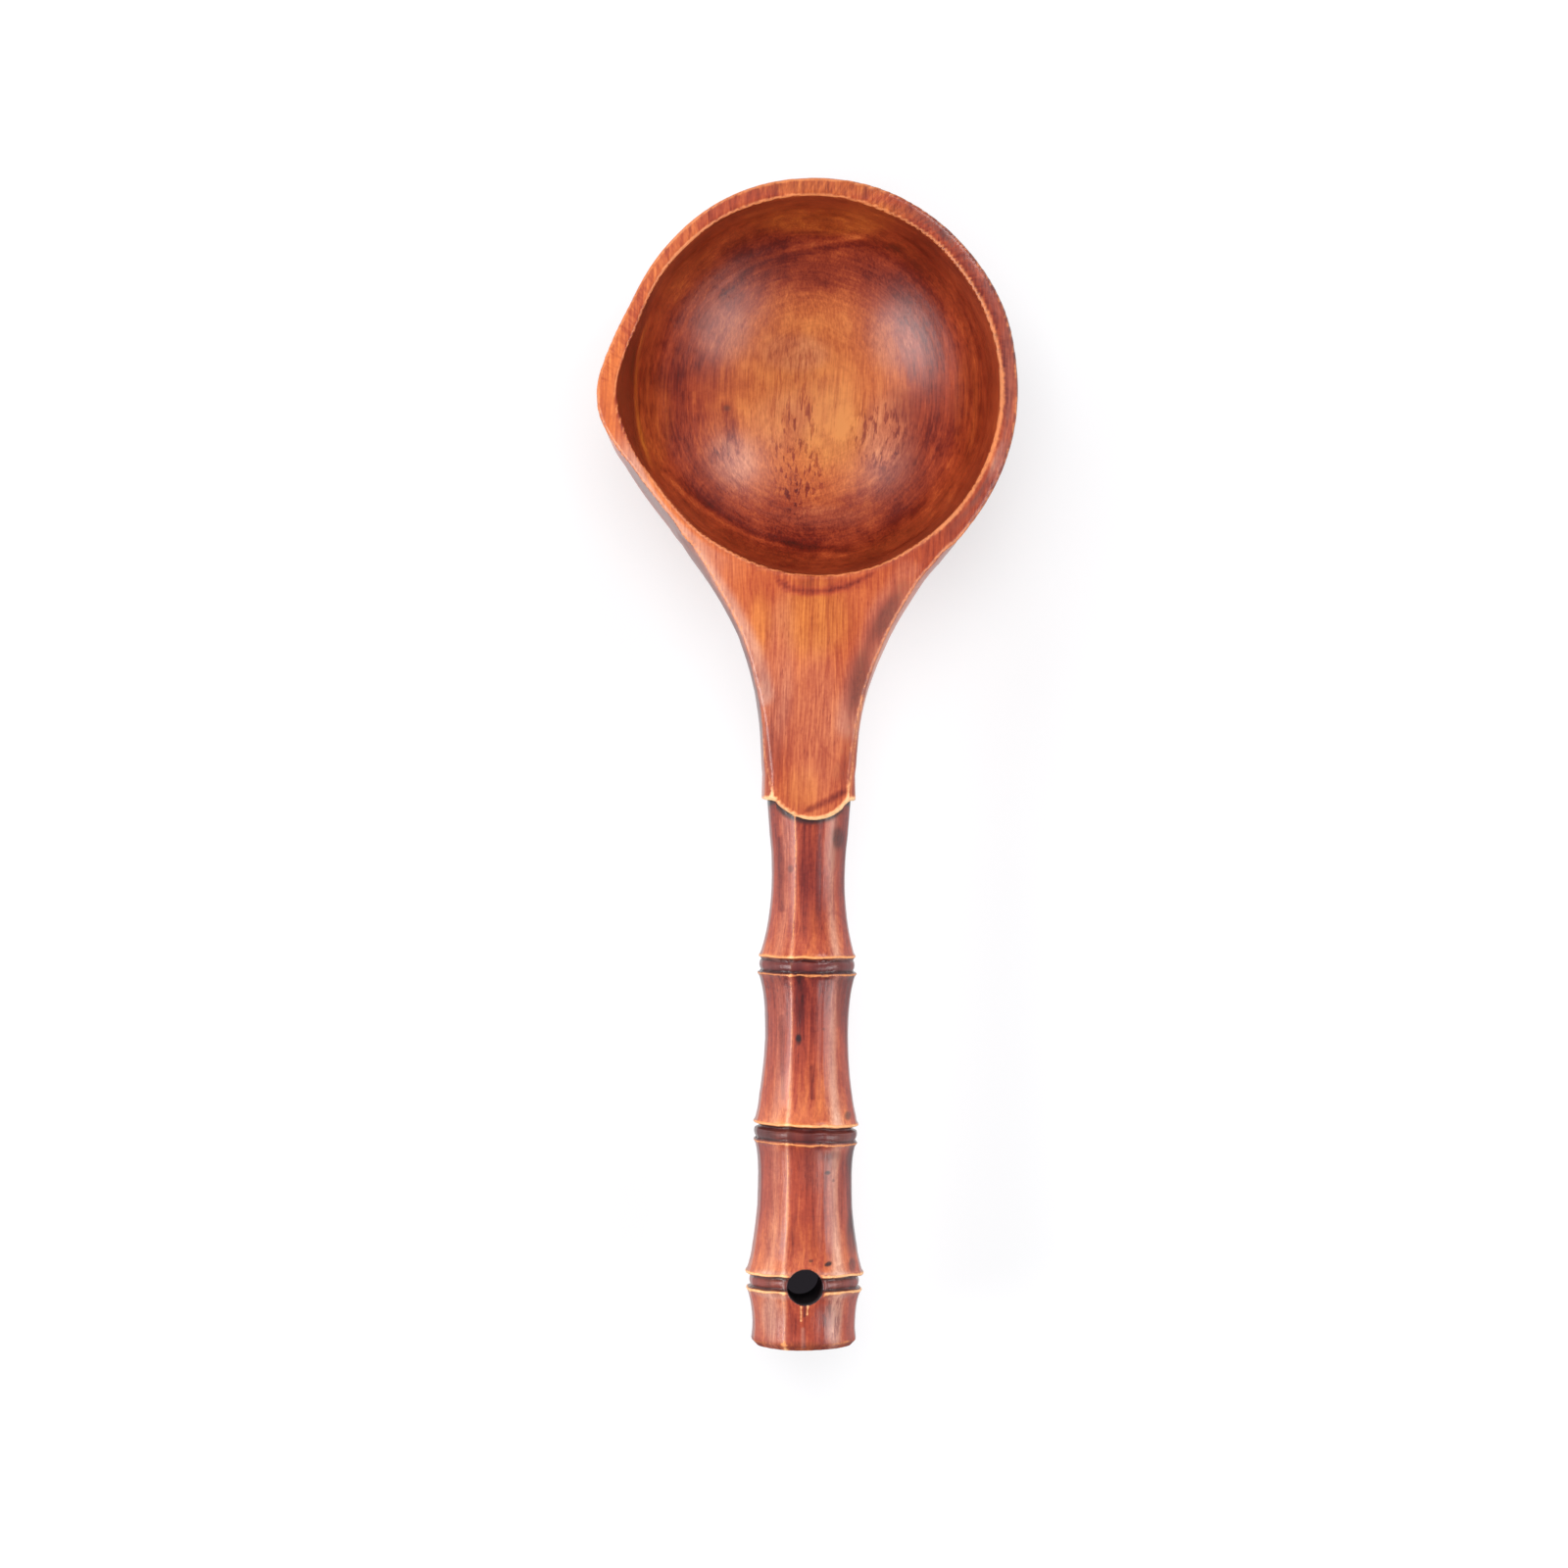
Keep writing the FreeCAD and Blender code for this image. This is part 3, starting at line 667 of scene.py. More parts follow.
    def worn(self, colour: Socket, strength: float) -> tuple[Socket, Value]:
        """Rub the lacquer off the edges, down to bare wood and to cream where it is deepest.

        Args:
            colour: The colour under the wear.
            strength: How bare the edges are.

        Returns:
            The worn colour, and where it is worn.
        """
        patchy = self.speck * 0.7 + self.cloud * 0.8
        rubbed = self.slide(self.wash(Wash.WEAR) + self.wash(Wash.CREAM) + patchy, 0.3, 1.0)
        deep = self.slide(self.wash(Wash.CREAM) * 1.2 + self.wash(Wash.WEAR) * 0.4 + patchy * 0.8, 0.55, 1.2)
        colour = self.mix(rubbed * strength, colour, self.finish.bare)
        return self.mix(deep * strength, colour, self.finish.cream), rubbed

    def matt(self, worn: Value, specks: float) -> Value:
        """Return how matt the lacquer is, unevenly, and more so where it is worn."""
        return self.finish.roughness + self.cloud * 0.2 + worn * 0.15 + self.speck * specks

    def surface(self, colour: object, roughness: Term, height: Value, depth: float, coat: Term) -> Material:
        """Close the material with its gloss and its fine relief.

        Args:
            colour: The final colour.
            roughness: How matt it is.
            height: The relief, from nothing to one.
            depth: How deep it is, in millimetres.
            coat: How much clear lacquer is left.

        Returns:
            The material.
        """
        relief = self.node("ShaderNodeBump", {"Strength": 1.0, "Distance": depth * MM, "Height": height})
        self.close("ShaderNodeOutputMaterial", self.node("ShaderNodeBsdfPrincipled", {
            "Base Color": colour, "Roughness": roughness, "IOR": 1.5, "Coat Weight": coat,
            "Coat Roughness": 0.3, "Normal": relief.outputs[0]}))
        return self.owner


class Piece:
    """A wooden piece: which solid it stands for, and how it is carved, stained with its painted light and
    shade, and dressed.
    """

    node: str
    name: str
    slot: Slot
    mesh_grain: float
    knife_wave: float
    waves: Table
    marks: Marks

    def knifed(self, carving: Carving) -> np.ndarray:
        """Return the piece's points with a knife's slight unevenness."""
        wave = ripple(carving.points, self.waves) * self.knife_wave
        return carving.points + carving.normals * wave[:, None]

    def build(self) -> bpy.types.Object:
        """Copy the solid, carve it, stain it with its painted light and shade, and dress it."""
        carving = Carving(self.node, self.name, self.mesh_grain, 2)
        carving.points = self.shape(carving)
        carving.write()
        self.stain(carving)
        return carving.finish(self.dress(), self.slot, self.node)


NOSE_RADIUS = 9.156
NOSE_CENTRE = 83.5
NOSE_HALF = 7.2
SHOULDER_RUN = 88.6


def past_joint(points: np.ndarray, start: float) -> np.ndarray:
    """Return how far each point lies past the neck's end, with its round nose and straight shoulders.

    Args:
        points: The piece's points.
        start: The run from which on the nose counts.

    Returns:
        The way past the joint in millimetres, less than nothing on the neck's side.
    """
    across, run = points[:, 0], -points[:, 1]
    nose = np.hypot(across, run - NOSE_CENTRE) - NOSE_RADIUS
    return np.where((np.abs(across) < NOSE_HALF) & (run > start), nose, run - SHOULDER_RUN)


RIM_STAIN = ((-7.8, -41.6), (-5.4, -43.4), (-2, -44.2), (2.5, -44), (6.8, -42.9), (12.3, -40.2))
LEFT_FLANK = ((-26, -38), (-19, -47), (-13.5, -57), (-11.2, -66))
TONGUE_SCRATCH = ((-0.6, -90.6), (2.2, -89.3), (4.6, -88), (6.9, -86.6))
RIGHT_BEVEL = ((11.4, -70.5), (10.4, -77.5), (9.9, -83), (9.4, -87))


@dataclass
class BowlHead(Piece):
    """The scoop with its spout and its flat neck, in one piece of wood.

    Sizes are in millimetres and turns in degrees. A run is a way along the piece from the scoop's axis.
    """

    node: str = "bowl_head"
    name: str = "carved_bowl_head"
    slot: Slot = Slot.HEAD_WOOD
    rim_height: float = 46.0
    rim_radius: float = 43.6
    hollow_radius: float = 39.9
    crease_radius: float = 38.3
    nose_run: float = 81.5
    neck_tone: float = 0.59
    mesh_grain: float = 0.68
    knife_wave: float = 0.07
    wall_rise: Range = (8.0, 38.0)
    wall_out: Range = (20.0, 36.0)
    rim_ends: Range = (-30.0, -42.0)
    undercut_rise: Range = (37.0, 45.5)
    droop_rise: Range = (43.5, 45.8)
    tongue_along: Range = (-86.0, -89.5)
    tongue_across: Range = (8.5, 6.5)
    tongue_lap: float = 0.68
    tongue_lean: float = 0.06
    neck_start: Range = (-40.0, -48.0)
    spout_start: Range = (-34.0, -36.5)
    waves: Table = (
        (0.021, 0.013, 0.017, 0.4), (-0.017, 0.024, 0.011, 2.1), (0.034, -0.019, 0.028, 4.0),
        (0.048, 0.009, -0.039, 1.2))
    outer_ease: Table = (
        (0, -0.55), (10, -0.67), (20, -0.33), (30, -0.28), (40, -0.38), (50, -0.27), (60, -0), (70, 0.27),
        (80, 0.28), (90, 0.31), (100, 0.37), (110, 0.43), (120, 0.36), (130, 0.03), (135, -0.2), (140, -0.23),
        (145, -0.35), (150, -0.48), (155, -0.51), (160, -0.66), (165, -1.02), (170, -1.24), (175, -0.7),
        (180, 0.15), (185, 0.73), (190, 1.01), (195, 0.56), (200, 0.54), (205, -0.5), (210, -1.02),
        (215, -1.36), (220, -1.45), (225, -1.18), (230, -0.66), (240, 0), (300, 0), (320, 0.73), (330, 0.27),
        (340, -0.03), (350, -0.27))
    inner_ease: Table = (
        (0, -0.72), (10, -0.8), (20, -0.85), (30, -0.88), (40, -0.87), (50, -0.53), (60, -0.48), (70, -0.47),
        (80, -0.03), (90, 0.27), (100, 0.37), (110, 0.43), (120, 0.65), (130, 0.5), (135, 0.4), (140, 0.5),
        (145, 0.49), (150, 0.36), (155, 0.2), (160, -0.36), (165, -1.02), (170, -0.4), (175, -0.12),
        (180, 0.05), (185, -0.25), (190, 0.16), (195, 0.72), (200, 1.18), (205, 0.94), (210, 0.34),
        (215, 0.08), (220, 0.05), (225, -0.09), (230, 0.22), (240, 0), (255, 0.4), (270, 0.7), (290, 0.7),
        (300, 0.2), (320, 0.03), (330, -0.15), (340, -0.31), (350, -0.42))
    sides: Table = (
        (27, 0, 0), (29, 0, 0.2), (31, -0.05, 0.75), (33, -0.42, 1.4), (35, -0.55, 1.7),
        (37.5, -0.63, 1.85), (39.5, -0.66, 1.55), (41.5, -0.77, 1.28), (44, -0.86, 1.22), (47, -0.68, 1.05),
        (49, -0.55, 0.83), (54, 0.04, 0.23), (59, 0.02, -0.14), (64, -0.21, -0.23), (69, -0.3, -0.14),
        (74, -0.38, -0.14), (79, -0.37, -0.16), (84, -0.48, 0), (89, -0.52, 0.16))
    rim_undercut: Table = (
        (0, 0), (180, 0), (200, 0.1), (212, 0.2), (225, 0.3), (240, 0.2), (252, 0.1), (262, 0))
    rim_droop: Table = (
        (0, 1), (30, 0.8), (55, 0.35), (80, 0.1), (280, 0.1), (315, 0.4), (340, 0.9))
    # The rim's tone round the scoop: lighter to the left and darker to the right, partly painted shade there.
    rim_tone_and_shade: Table = (
        (0, 0.31), (25, 0.35), (45, 0.44), (65, 0.5), (90, 0.52), (115, 0.5), (135, 0.6), (150, 0.63),
        (165, 0.68), (180, 0.74), (200, 0.66), (225, 0.68), (245, 0.66), (270, 0.62), (295, 0.56), (312, 0.4),
        (328, 0.56), (340, 0.56))
    # The hollow's tone by distance from the axis: lightest on the floor, darker up the steep walls; partly
    # the lacquer's tone, partly painted light and shade.
    hollow_tone_and_shade: Table = (
        (0, 0.95), (10, 0.92), (15, 0.85), (19, 0.74), (24, 0.6), (28, 0.44), (33, 0.38), (39, 0.42))
    marks: Marks = (
        # The darker tone dabs in a ring round the hollow's walls are partly the stain and partly painted
        # shade.
        *dabs(
            Wash.TONE,
            (-0.08, -22.4, 4.1, 3, 5), (-0.08, -29.3, -0.7, 3, 7), (-0.09, 1.7, 21.7, 6, 4),
            (-0.07, 14.8, -18.4, 4, 4), (-0.13, 7.1, -82.9, 0.9, 4), (0.1, 7, -4, 5, 6), (-0.1, -3, -9, 3, 5),
            (0.06, -12, -6, 5, 4), (-0.05, -3, 9.5, 8, 4.5), (-0.1, 25, 0, 5, 14), (-0.05, -25, 2, 4, 10),
            (-0.08, 2, -31.5, 16, 3), (-0.07, 17, -8, 6, 12), (-0.1, 3, -36.5, 18, 3),
            (0.09, -11.9, -51.6, 2.6, 7), (0.12, 38.8, -15.6, 1.4, 5, -20), (0.08, 6, 5, 5, 4),
            (-0.08, 20, -27, 5.5, 3, 40), (-0.12, -12, 31, 8, 3, 15), (-0.1, 18.8, 30.7, 9, 3.5, -25),
            (-0.12, -1, 25.5, 8, 3), (-0.03, -27, 6.3, 4, 5), (-0.08, -28, -9, 3.5, 6), (-0.05, 29, -6, 3, 9),
            (-0.07, 27, 14, 3, 6), (0.06, -17, -16, 6, 6), (-0.12, -17.9, -3.3, 2, 1.8),
            (-0.1, -17, -9, 3, 5.5), (0.04, 3, 36.5, 17, 2.4), (-0.1, 3, -42.4, 9, 1.6),
            (-0.14, 15, -49.5, 2.6, 7.5, -28), (-0.14, 9.2, -63, 3, 9, -8), (-0.08, -8.2, -79, 1.4, 7, 8),
            (0.08, -6, -55, 4, 12), (0.04, -2, -84, 4, 6)),
        *dabs(
            Wash.OCHRE,
            (0.5, 4.5, -6, 10, 13, 20), (-0.3, -4, 2, 8, 10), (0.35, -11.5, -51.6, 3, 8),
            (0.35, 3, 41.8, 16, 2), (0.5, 3, 36.5, 20, 3), (0.4, -34, -6, 5, 16), (0.25, -26, 24, 6, 9, -45),
            (0.35, 34, -3, 4, 14), (0.5, 0, -50, 9, 9), (0.3, -2, -86, 4, 5)),
        # Painted highlights: the milky dabs at (-19, 13), (19, 13), (18, -10) and (-17, -15) stand for the
        # soft boxes' gleam on the hollow's floor.
        *dabs(
            Wash.BLOOM_AND_SHEEN,
            (0.2, -6, -6, 8, 8), (0.4, 38.8, -15.6, 1.4, 5, -20), (0.35, -19, 13, 7, 8), (0.35, 19, 13, 7, 9),
            (0.3, 18, -10, 7, 13), (0.35, -17, -15, 7, 7), (0.22, 2, -27, 12, 3), (0.3, 41, 5, 2, 14),
            (0.25, -3, 9, 9, 5), (0.2, -7.5, -62, 3.5, 22, -4), (0.16, 0, -72, 9, 18)),
        *dabs(
            Wash.SOOT_AND_SHADE,
            (0.25, 20.5, -2, 4, 6), (0.22, 22, -13, 4.5, 4.5), (0.55, -17.9, -3.3, 1.1, 0.9),
            (0.3, -18, -12, 1.4, 2.6, 15), (0.2, -29, 7, 1.2, 1.2), (0.22, 15.6, -49, 1.8, 5.5, -28),
            (0.22, 9.4, -62.5, 2.2, 7.5, -8), (0.28, -10.2, -63.7, 1.3, 3.2, 8), (0.16, 0.7, -80.5, 3.6, 3.6),
            (0.28, 5.8, -82.8, 1.8, 2.6)),
        *dabs(
            Wash.DASH,
            (0.9, -2, -14, 6.5, 14), (0.9, 15.5, -8, 6.5, 9), (0.6, -18.5, -10.5, 4, 6), (0.4, -4, 3, 10, 9),
            (0.15, 0, -63, 15, 26)),
        *dabs(
            Wash.CREAM,
            (0.35, -8.6, -88, 1.1, 1), (0.3, 8.4, -87.8, 1, 0.9)),
        # The darker tone along the right bevel is painted shade.
        *strokes(
            Wash.TONE,
            (-0.2, 0.45, *RIM_STAIN),
            (-0.13, 0.7, (-19, 21.8), (-12.5, 27), (-3.5, 30), (5.5, 31.8), (11, 32.5), (19, 31)),
            (0.1, 0.5, (-19.8, 23), (-13, 28.3), (-3.5, 31.4), (5.5, 33.1), (11, 33.9)),
            (0.12, 0.5, (-32, -18.6), (-24.3, -25.4), (-12.5, -32), (-0.5, -35.4), (8, -35.6)),
            (-0.12, 0.7, (-31, -17.6), (-23.3, -24.2), (-12, -30.6), (-0.5, -34), (8, -34.2)),
            (0.06, 2.6, *LEFT_FLANK), (-0.27, 0.6, *TONGUE_SCRATCH), (-0.16, 0.8, *RIGHT_BEVEL)),
        *strokes(
            Wash.OCHRE,
            (-0.5, 0.9, *RIM_STAIN)),
        # Milky strokes down the neck's sides: painted greyish reflection where the sides turn away from the
        # top.
        *strokes(
            Wash.BLOOM_AND_SHEEN,
            (0.55, 2.6, *LEFT_FLANK), (0.3, 3.4, (20, -40), (15, -49), (11, -60), (8.6, -72))),
        # Apart from the faint one on the tongue's scratch, these dark strokes are painted shade on the neck's
        # right side and on the side strips beyond its bevels.
        *strokes(
            Wash.SOOT_AND_SHADE,
            (0.3, 2.2, (19, -43), (15, -50), (11.5, -59), (9.4, -69), (8, -79)), (0.15, 0.6, *TONGUE_SCRATCH),
            (0.4, 0.7, *RIGHT_BEVEL),
            (0.3, 0.5, (-12.2, -69.5), (-11.3, -77.5), (-10.6, -83), (-10.1, -86.5))),
        *strokes(
            Wash.CREAM,
            (0.62, 0.42, (-11.4, -69.2), (-10.2, -77.6), (-9.2, -83), (-8.2, -88.2)),
            (0.5, 0.36, (10.8, -66.5), (10, -70), (9.1, -77), (8.5, -83), (7.7, -87.9))),
    )

    def ease(self, points: np.ndarray) -> np.ndarray:
        """Return how far the hand-cut rim leaves the true round at each point.

        Args:
            points: The scoop's points.

        Returns:
            A move for each point.
        """
        out = np.maximum(np.hypot(points[:, 0], points[:, 1]), 1e-6)
        angle = np.degrees(np.arctan2(points[:, 1], points[:, 0]))
        outer, inner = eased(angle, self.outer_ease, 2), eased(angle, self.inner_ease, 2)
        side = swell(self.hollow_radius, self.rim_radius, out)
        neck = swell(*self.rim_ends, points[:, 1])
        share = swell(*self.wall_rise, points[:, 2]) * swell(*self.wall_out, out) * (1 - neck * side)
        move = (inner + (outer - inner) * side) * share
        move -= eased(angle, self.rim_undercut) * side * swell(*self.undercut_rise, points[:, 2])
        drop = eased(angle, self.rim_droop) * swell(self.hollow_radius + 0.6, self.rim_radius, out)
        drop *= swell(*self.droop_rise, points[:, 2]) * (1 - neck)
        return np.stack([points[:, 0] / out * move, points[:, 1] / out * move, -drop], axis=1)

    def shape(self, carving: Carving) -> np.ndarray:
        """Carve the rim, the flanks, the neck's sides and the lap over the grip.

        Args:
            carving: The piece as copied from its solid.

        Returns:
            Its moved points.
        """
        points, normals = carving.points, carving.normals
        across, along, up = points.T
        moved = self.knifed(carving) + self.ease(points)
        out = np.hypot(across, along)
        outward = (across * normals[:, 0] + along * normals[:, 1]) / np.maximum(out, 1.0)
        outside = np.maximum(swell(40.5, 43.6, out), swell(0.1, 0.5, outward) * swell(10.0, 34.0, up))
        moved[:, 0] += sideways(points, self.sides) * outside
        lap = swell(*self.tongue_along, along) * swell(*self.tongue_across, np.abs(across))
        moved[:, 1] -= (self.tongue_lap + self.tongue_lean * across) * lap
        under_neck = swell(44.0, 38.0, up) * swell(-36.0, -46.0, along) * swell(-70.0, -60.0, along)
        moved[:, 0] += 0.7 * under_neck * swell(-4.0, -8.0, across)
        moved[:, 2] = np.maximum(moved[:, 2], 0.0)
        return moved

    def stain(self, carving: Carving) -> None:
        """Stain the carved piece and paint its light and shade: what is worn, hollow, light or dark.

        Args:
            carving: The carved piece.
        """
        points, normals = carving.points, carving.normals
        across, along, up = points.T
        out = np.hypot(across, along)
        angle = np.degrees(np.arctan2(along, across))
        outward = (normals[:, 0] * across + normals[:, 1] * along) / np.maximum(out, 1e-6)
        below_rim = up < self.rim_height - 0.3
        inside = (out < self.hollow_radius + 5) & (normals[:, 2] - outward > 0.05) & below_rim
        inside = carving.spread(inside.astype(float), 2)
        upward = np.maximum(swell(0.0, 0.3, normals[:, 2]), inside)
        neck = swell(*self.neck_start, along)
        nose_edge = swell(-1.0, -0.6, past_joint(points, self.nose_run)) * swell(30.0, 36.0, up)

        # The spout's gouge inside, the line where it starts, and painted shade on the left side below the
        # neck.
        spout = swell(38.5, 38.9, out) * swell(*self.spout_start, across) * swell(24.0, 29.0, up) * inside
        crease = bump(out, self.crease_radius, 0.5) * swell(-34.0, -37.0, across) * inside
        flank_shade = swell(0.5, 0.2, normals[:, 2]) * (1 - inside) * swell(10.0, 0.0, across)
        flank_shade *= swell(-10.0, -20.0, along) * swell(-90.0, -70.0, along) * swell(20.0, 34.0, up)

        # The rim's outer edge, with painted shade and a painted greyish reflection on its right, and a milky
        # bloom at the lower left.
        edge = (1 - inside) * (1 - neck) * swell(self.hollow_radius + 0.8, self.hollow_radius + 1.8, out)
        edge *= swell(42.0, 44.2, up)
        right = swell(-60.0, -25.0, angle) * swell(75.0, 45.0, angle)
        low_left = swell(-100.0, -140.0, angle) * swell(-170.0, -155.0, angle)

        # Partly painted light and shade: the hollow lighter on its floor and darker on its steep walls.
        hollow = np.interp(out, *zip(*self.hollow_tone_and_shade)) * (1 - spout) + 0.2 * spout
        top = eased(angle, self.rim_tone_and_shade) * (1 - neck) + self.neck_tone * neck
        wear = swell(0.03, 0.2, carving.proud(3)) * (1 - 0.5 * right * edge)
        wear *= 1 - 0.7 * swell(0.2, 0.8, spout)
        carving.paint({
            Wash.WEAR: wear,
            # Painted shade where the surface dips.
            Wash.RECESS_SHADE: swell(0.1, 0.5, -carving.proud(12)),
            Wash.INSIDE: inside,
            # Painted shade darkens the left side below the neck.
            Wash.TONE: top * (1 - inside) + hollow * inside - 0.32 * flank_shade + crease * 0.14,
            # Painted greyish reflection on the rim's right edge; a milky bloom at its lower left and over the
            # neck.
            Wash.BLOOM_AND_SHEEN: edge * (right * 0.6 + low_left * 0.7) * (1 - flank_shade) + neck * 0.12,
            # Painted shade on the rim's right edge and on the left side below the neck.
            Wash.SOOT_AND_SHADE: edge * right * 0.75 + flank_shade * 0.5,
            Wash.CREAM: nose_edge * 0.6,
            Wash.HATCH: (1 - inside) * (1 - neck) * swell(-50.0, 20.0, angle) * 0.8,
            Wash.OCHRE: (1 - inside) * 0.2 + crease * 0.7}, self.marks, upward)

    def dress(self) -> Material:
        """Make the scoop's lacquered wood."""
        wood = Wood(HEAD_FINISH)
        inside = wood.wash(Wash.INSIDE)
        out, turn = wood.round_scoop()
        swirl = wood.noise(wood.joined(out * 1.5, turn * 2.2, wood.up * 0.3), 1.0, 3.0, 0.6)
        swirl = swirl * inside * wood.slide(out, 12.0, 26.0)
        mottle = wood.noise(wood.whole, 0.22, 3.0, 0.6)
        dashes, hatching = wood.dashes(), wood.hatching()
        tone = wood.wash(Wash.TONE) + wood.streak * (0.35 - inside * 0.05) + wood.fibre * 0.54
        tone = tone + wood.cloud * (0.25 + inside * 0.3) + mottle * inside * 0.4
        tone = tone + wood.speck * 0.14 + swirl * 0.35
        tone = tone - wood.rings * 0.05 - wood.pores * 0.1 - dashes * 0.34 - hatching * 0.14
        # Painted shade: where the surface dips it darkens towards the darkest stain.
        colour = wood.mix(wood.wash(Wash.RECESS_SHADE) * 0.4, wood.stained(tone), HEAD_FINISH.red[0])
        colour, worn = wood.worn(colour, 0.75)
        height = 0.5 + wood.fibre * (0.5 - inside * 0.25) - wood.pores * 0.25
        height = height - dashes * 0.4 - hatching * 0.25 + swirl * 0.25
        return wood.surface(colour, wood.matt(worn, 0.1), height, 0.07, HEAD_FINISH.coat * (1 - worn * 0.4))


@dataclass
class Grip(Piece):
    """The grip cut like a jointed cane.

    Sizes are in millimetres, and turns round the grip's axis in degrees from its right.
    """

    node: str = "handle"
    name: str = "carved_grip"
    slot: Slot = Slot.GRIP_WOOD
    axis_height: float = 36.3
    hole_run: float = 192.4
    hole_radius: float = 3.75
    slanted_run: float = 160.0
    slant: float = 0.028
    end_run: float = 205.4
    ridge_turn: float = 112.5
    far_ridge_turn: float = 67.5
    left_face_turn: float = 131.0
    right_face_turn: float = 53.0
    mesh_grain: float = 0.355
    knife_wave: float = 0.08
    skin_out: Range = (6.0, 7.2)
    skin_off_hole: Range = (4.2, 5.0)
    knife_off_hole: Range = (4.4, 5.4)
    groove_half: float = 0.32
    lip_away: float = 0.3
    lip_half: float = 0.45
    lip_height: float = 0.22
    slant_reach: float = 7.0
    bow: float = 0.004
    bow_left: float = 1.5
    bow_run: Range = (199.0, 205.5)
    waves: Table = (
        (0.05, 0.021, 0.04, 0.9), (-0.06, 0.034, 0.03, 3.1), (0.03, -0.027, 0.06, 5.0))
    bands: Table = ((122.4, 125.6), (158.35, 161.75), (190.35, 193.35))
    sides: Table = (
        (88, -0.24, 0.24), (96, -0.26, 0.42), (100, -0.1, 0.3), (108, -0.1, 0.22), (116, -0.21, 0.3),
        (120, -0.32, 0.44), (124, -0.44, 0.52), (128, -0.35, 0.58), (132, -0.17, 0.48), (136, -0.03, 0.28),
        (140, 0.11, 0.18), (144, 0.01, 0.22), (148, -0.2, 0.36), (152, -0.41, 0.64), (156, -0.24, 0.77),
        (160, -0.08, 0.43), (164, 0.02, 0.29), (168, 0.08, 0.3), (176, 0.26, 0.2), (180, 0.06, 0.43),
        (184, -0.16, 0.74), (188, -0.16, 0.76), (192, -0.05, 0.54), (196, -0.09, 0.49), (200, -0.01, 0.66),
        (206, 0.08, 0.64))
    tones: Table = (
        (82, 0.3), (90, 0.38), (108, 0.44), (116, 0.54), (122.3, 0.68), (125.7, 0.32), (132, 0.37),
        (143, 0.5), (152, 0.6), (158.2, 0.72), (161.9, 0.4), (167, 0.44), (177, 0.5), (184, 0.58),
        (190.2, 0.7), (193.5, 0.54), (199, 0.5), (206, 0.48))
    marks: Marks = (
        *dabs(
            Wash.SOOT_AND_SHADE,
            (0.24, -1, -164.2, 9, 1.6), (0.28, 6, -165.5, 3, 2.6), (0.12, 9.4, -175, 1.2, 8),
            (0.12, -9.4, -168, 1.2, 6), (0.3, 5.4, -198.5, 3.4, 3.2), (0.18, -4, -200.6, 5, 2.4),
            (0.25, 4.2, -160, 4.5, 1.3), (0.5, -4.1, -103.3, 0.8, 1.1), (0.35, 6.1, -96.5, 1.4, 2.8),
            (0.28, 5.4, -98.5, 3, 6), (0.6, -2, -139.8, 0.8, 1.3), (0.6, 8.9, -156, 0.9, 1.2),
            (0.7, 4.6, -168.1, 0.8, 0.5), (0.6, 1.2, -186.7, 0.7, 0.45), (0.8, 4.9, -187.4, 1, 0.6, 20),
            (0.5, 10.2, -188, 1, 1.6), (0.5, 5.9, -169.8, 0.5, 0.4), (0.5, 3.4, -137.4, 0.4, 0.4),
            (0.4, 10, -182, 1.6, 5), (0.35, 9.6, -165, 1.3, 4)),
        *dabs(
            Wash.TONE,
            (-0.09, -5, -184, 4, 4), (-0.15, -1.7, -131, 1.3, 6), (-0.12, 0, -205.5, 14, 1.6)),
        *dabs(
            Wash.OCHRE,
            (0.3, 0, -205.5, 14, 1.6), (0.15, 1, -150, 4.5, 8), (0.2, -1, -183, 8, 5),
            (0.15, 1.5, -116, 4, 6)),
        *dabs(
            Wash.BLOOM_AND_SHEEN,
            (0.45, 6.2, -199, 2.2, 5.5), (0.35, -7, -199, 2.6, 5), (0.4, 0, -190, 14, 1.2),
            (0.4, 0, -194, 14, 1.2), (0.25, 2, -167, 4, 6)),
        *dabs(
            Wash.DASH,
            (0.8, 6.2, -199, 2.4, 5)),
        *strokes(
            Wash.TONE,
            (-0.16, 0.6, (-6.2, -97), (-5.9, -112)), (-0.12, 0.5, (-1.2, -90), (-1.8, -100), (-1.5, -118)),
            (-0.15, 0.5, (-5.6, -135), (-5.3, -147)), (-0.1, 1.6, (0.6, -94), (0.8, -104), (1, -116)),
            (-0.2, 0.5, (0.9, -145.5), (1.1, -152))),
        *strokes(
            Wash.SOOT_AND_SHADE,
            (0.35, 0.6, (-2, -134), (-2, -139.4)), (0.35, 0.5, (-5.2, -147.6), (-5.2, -152.2)),
            (0.35, 0.9, (7.2, -127), (6.9, -132), (6.8, -136.5)), (0.28, 0.25, (-4, -177.2), (6.5, -177.4)),
            (0.6, 0.3, (-0.1, -196.4), (-0.1, -198.6))),
        *strokes(
            Wash.CREAM,
            (0.75, 0.32, (-0.82, -196.4), (-0.78, -199.6)), (0.75, 0.3, (0.64, -196.2), (0.5, -198.2)),
            (0.3, 0.35, (-10.9, -204.9), (-4.2, -205.7), (2.1, -205.7), (9.6, -204.4))),
        *strokes(
            Wash.BLOOM_AND_SHEEN,
            (0.6, 0.5, (-0.35, -201.4), (-0.2, -205.2))),
    )

    def grooves(self) -> list[tuple[float, float]]:
        """Return where the grooves beside each band run, and how deep they are cut."""
        return [groove for start, end in self.bands for groove in ((start + 0.35, 0.35), (end - 0.3, 0.28))]

    def from_hole(self, points: np.ndarray) -> np.ndarray:
        """Return how far each point lies from the hanging hole's axis."""
        return np.hypot(points[:, 0], points[:, 1] + self.hole_run)

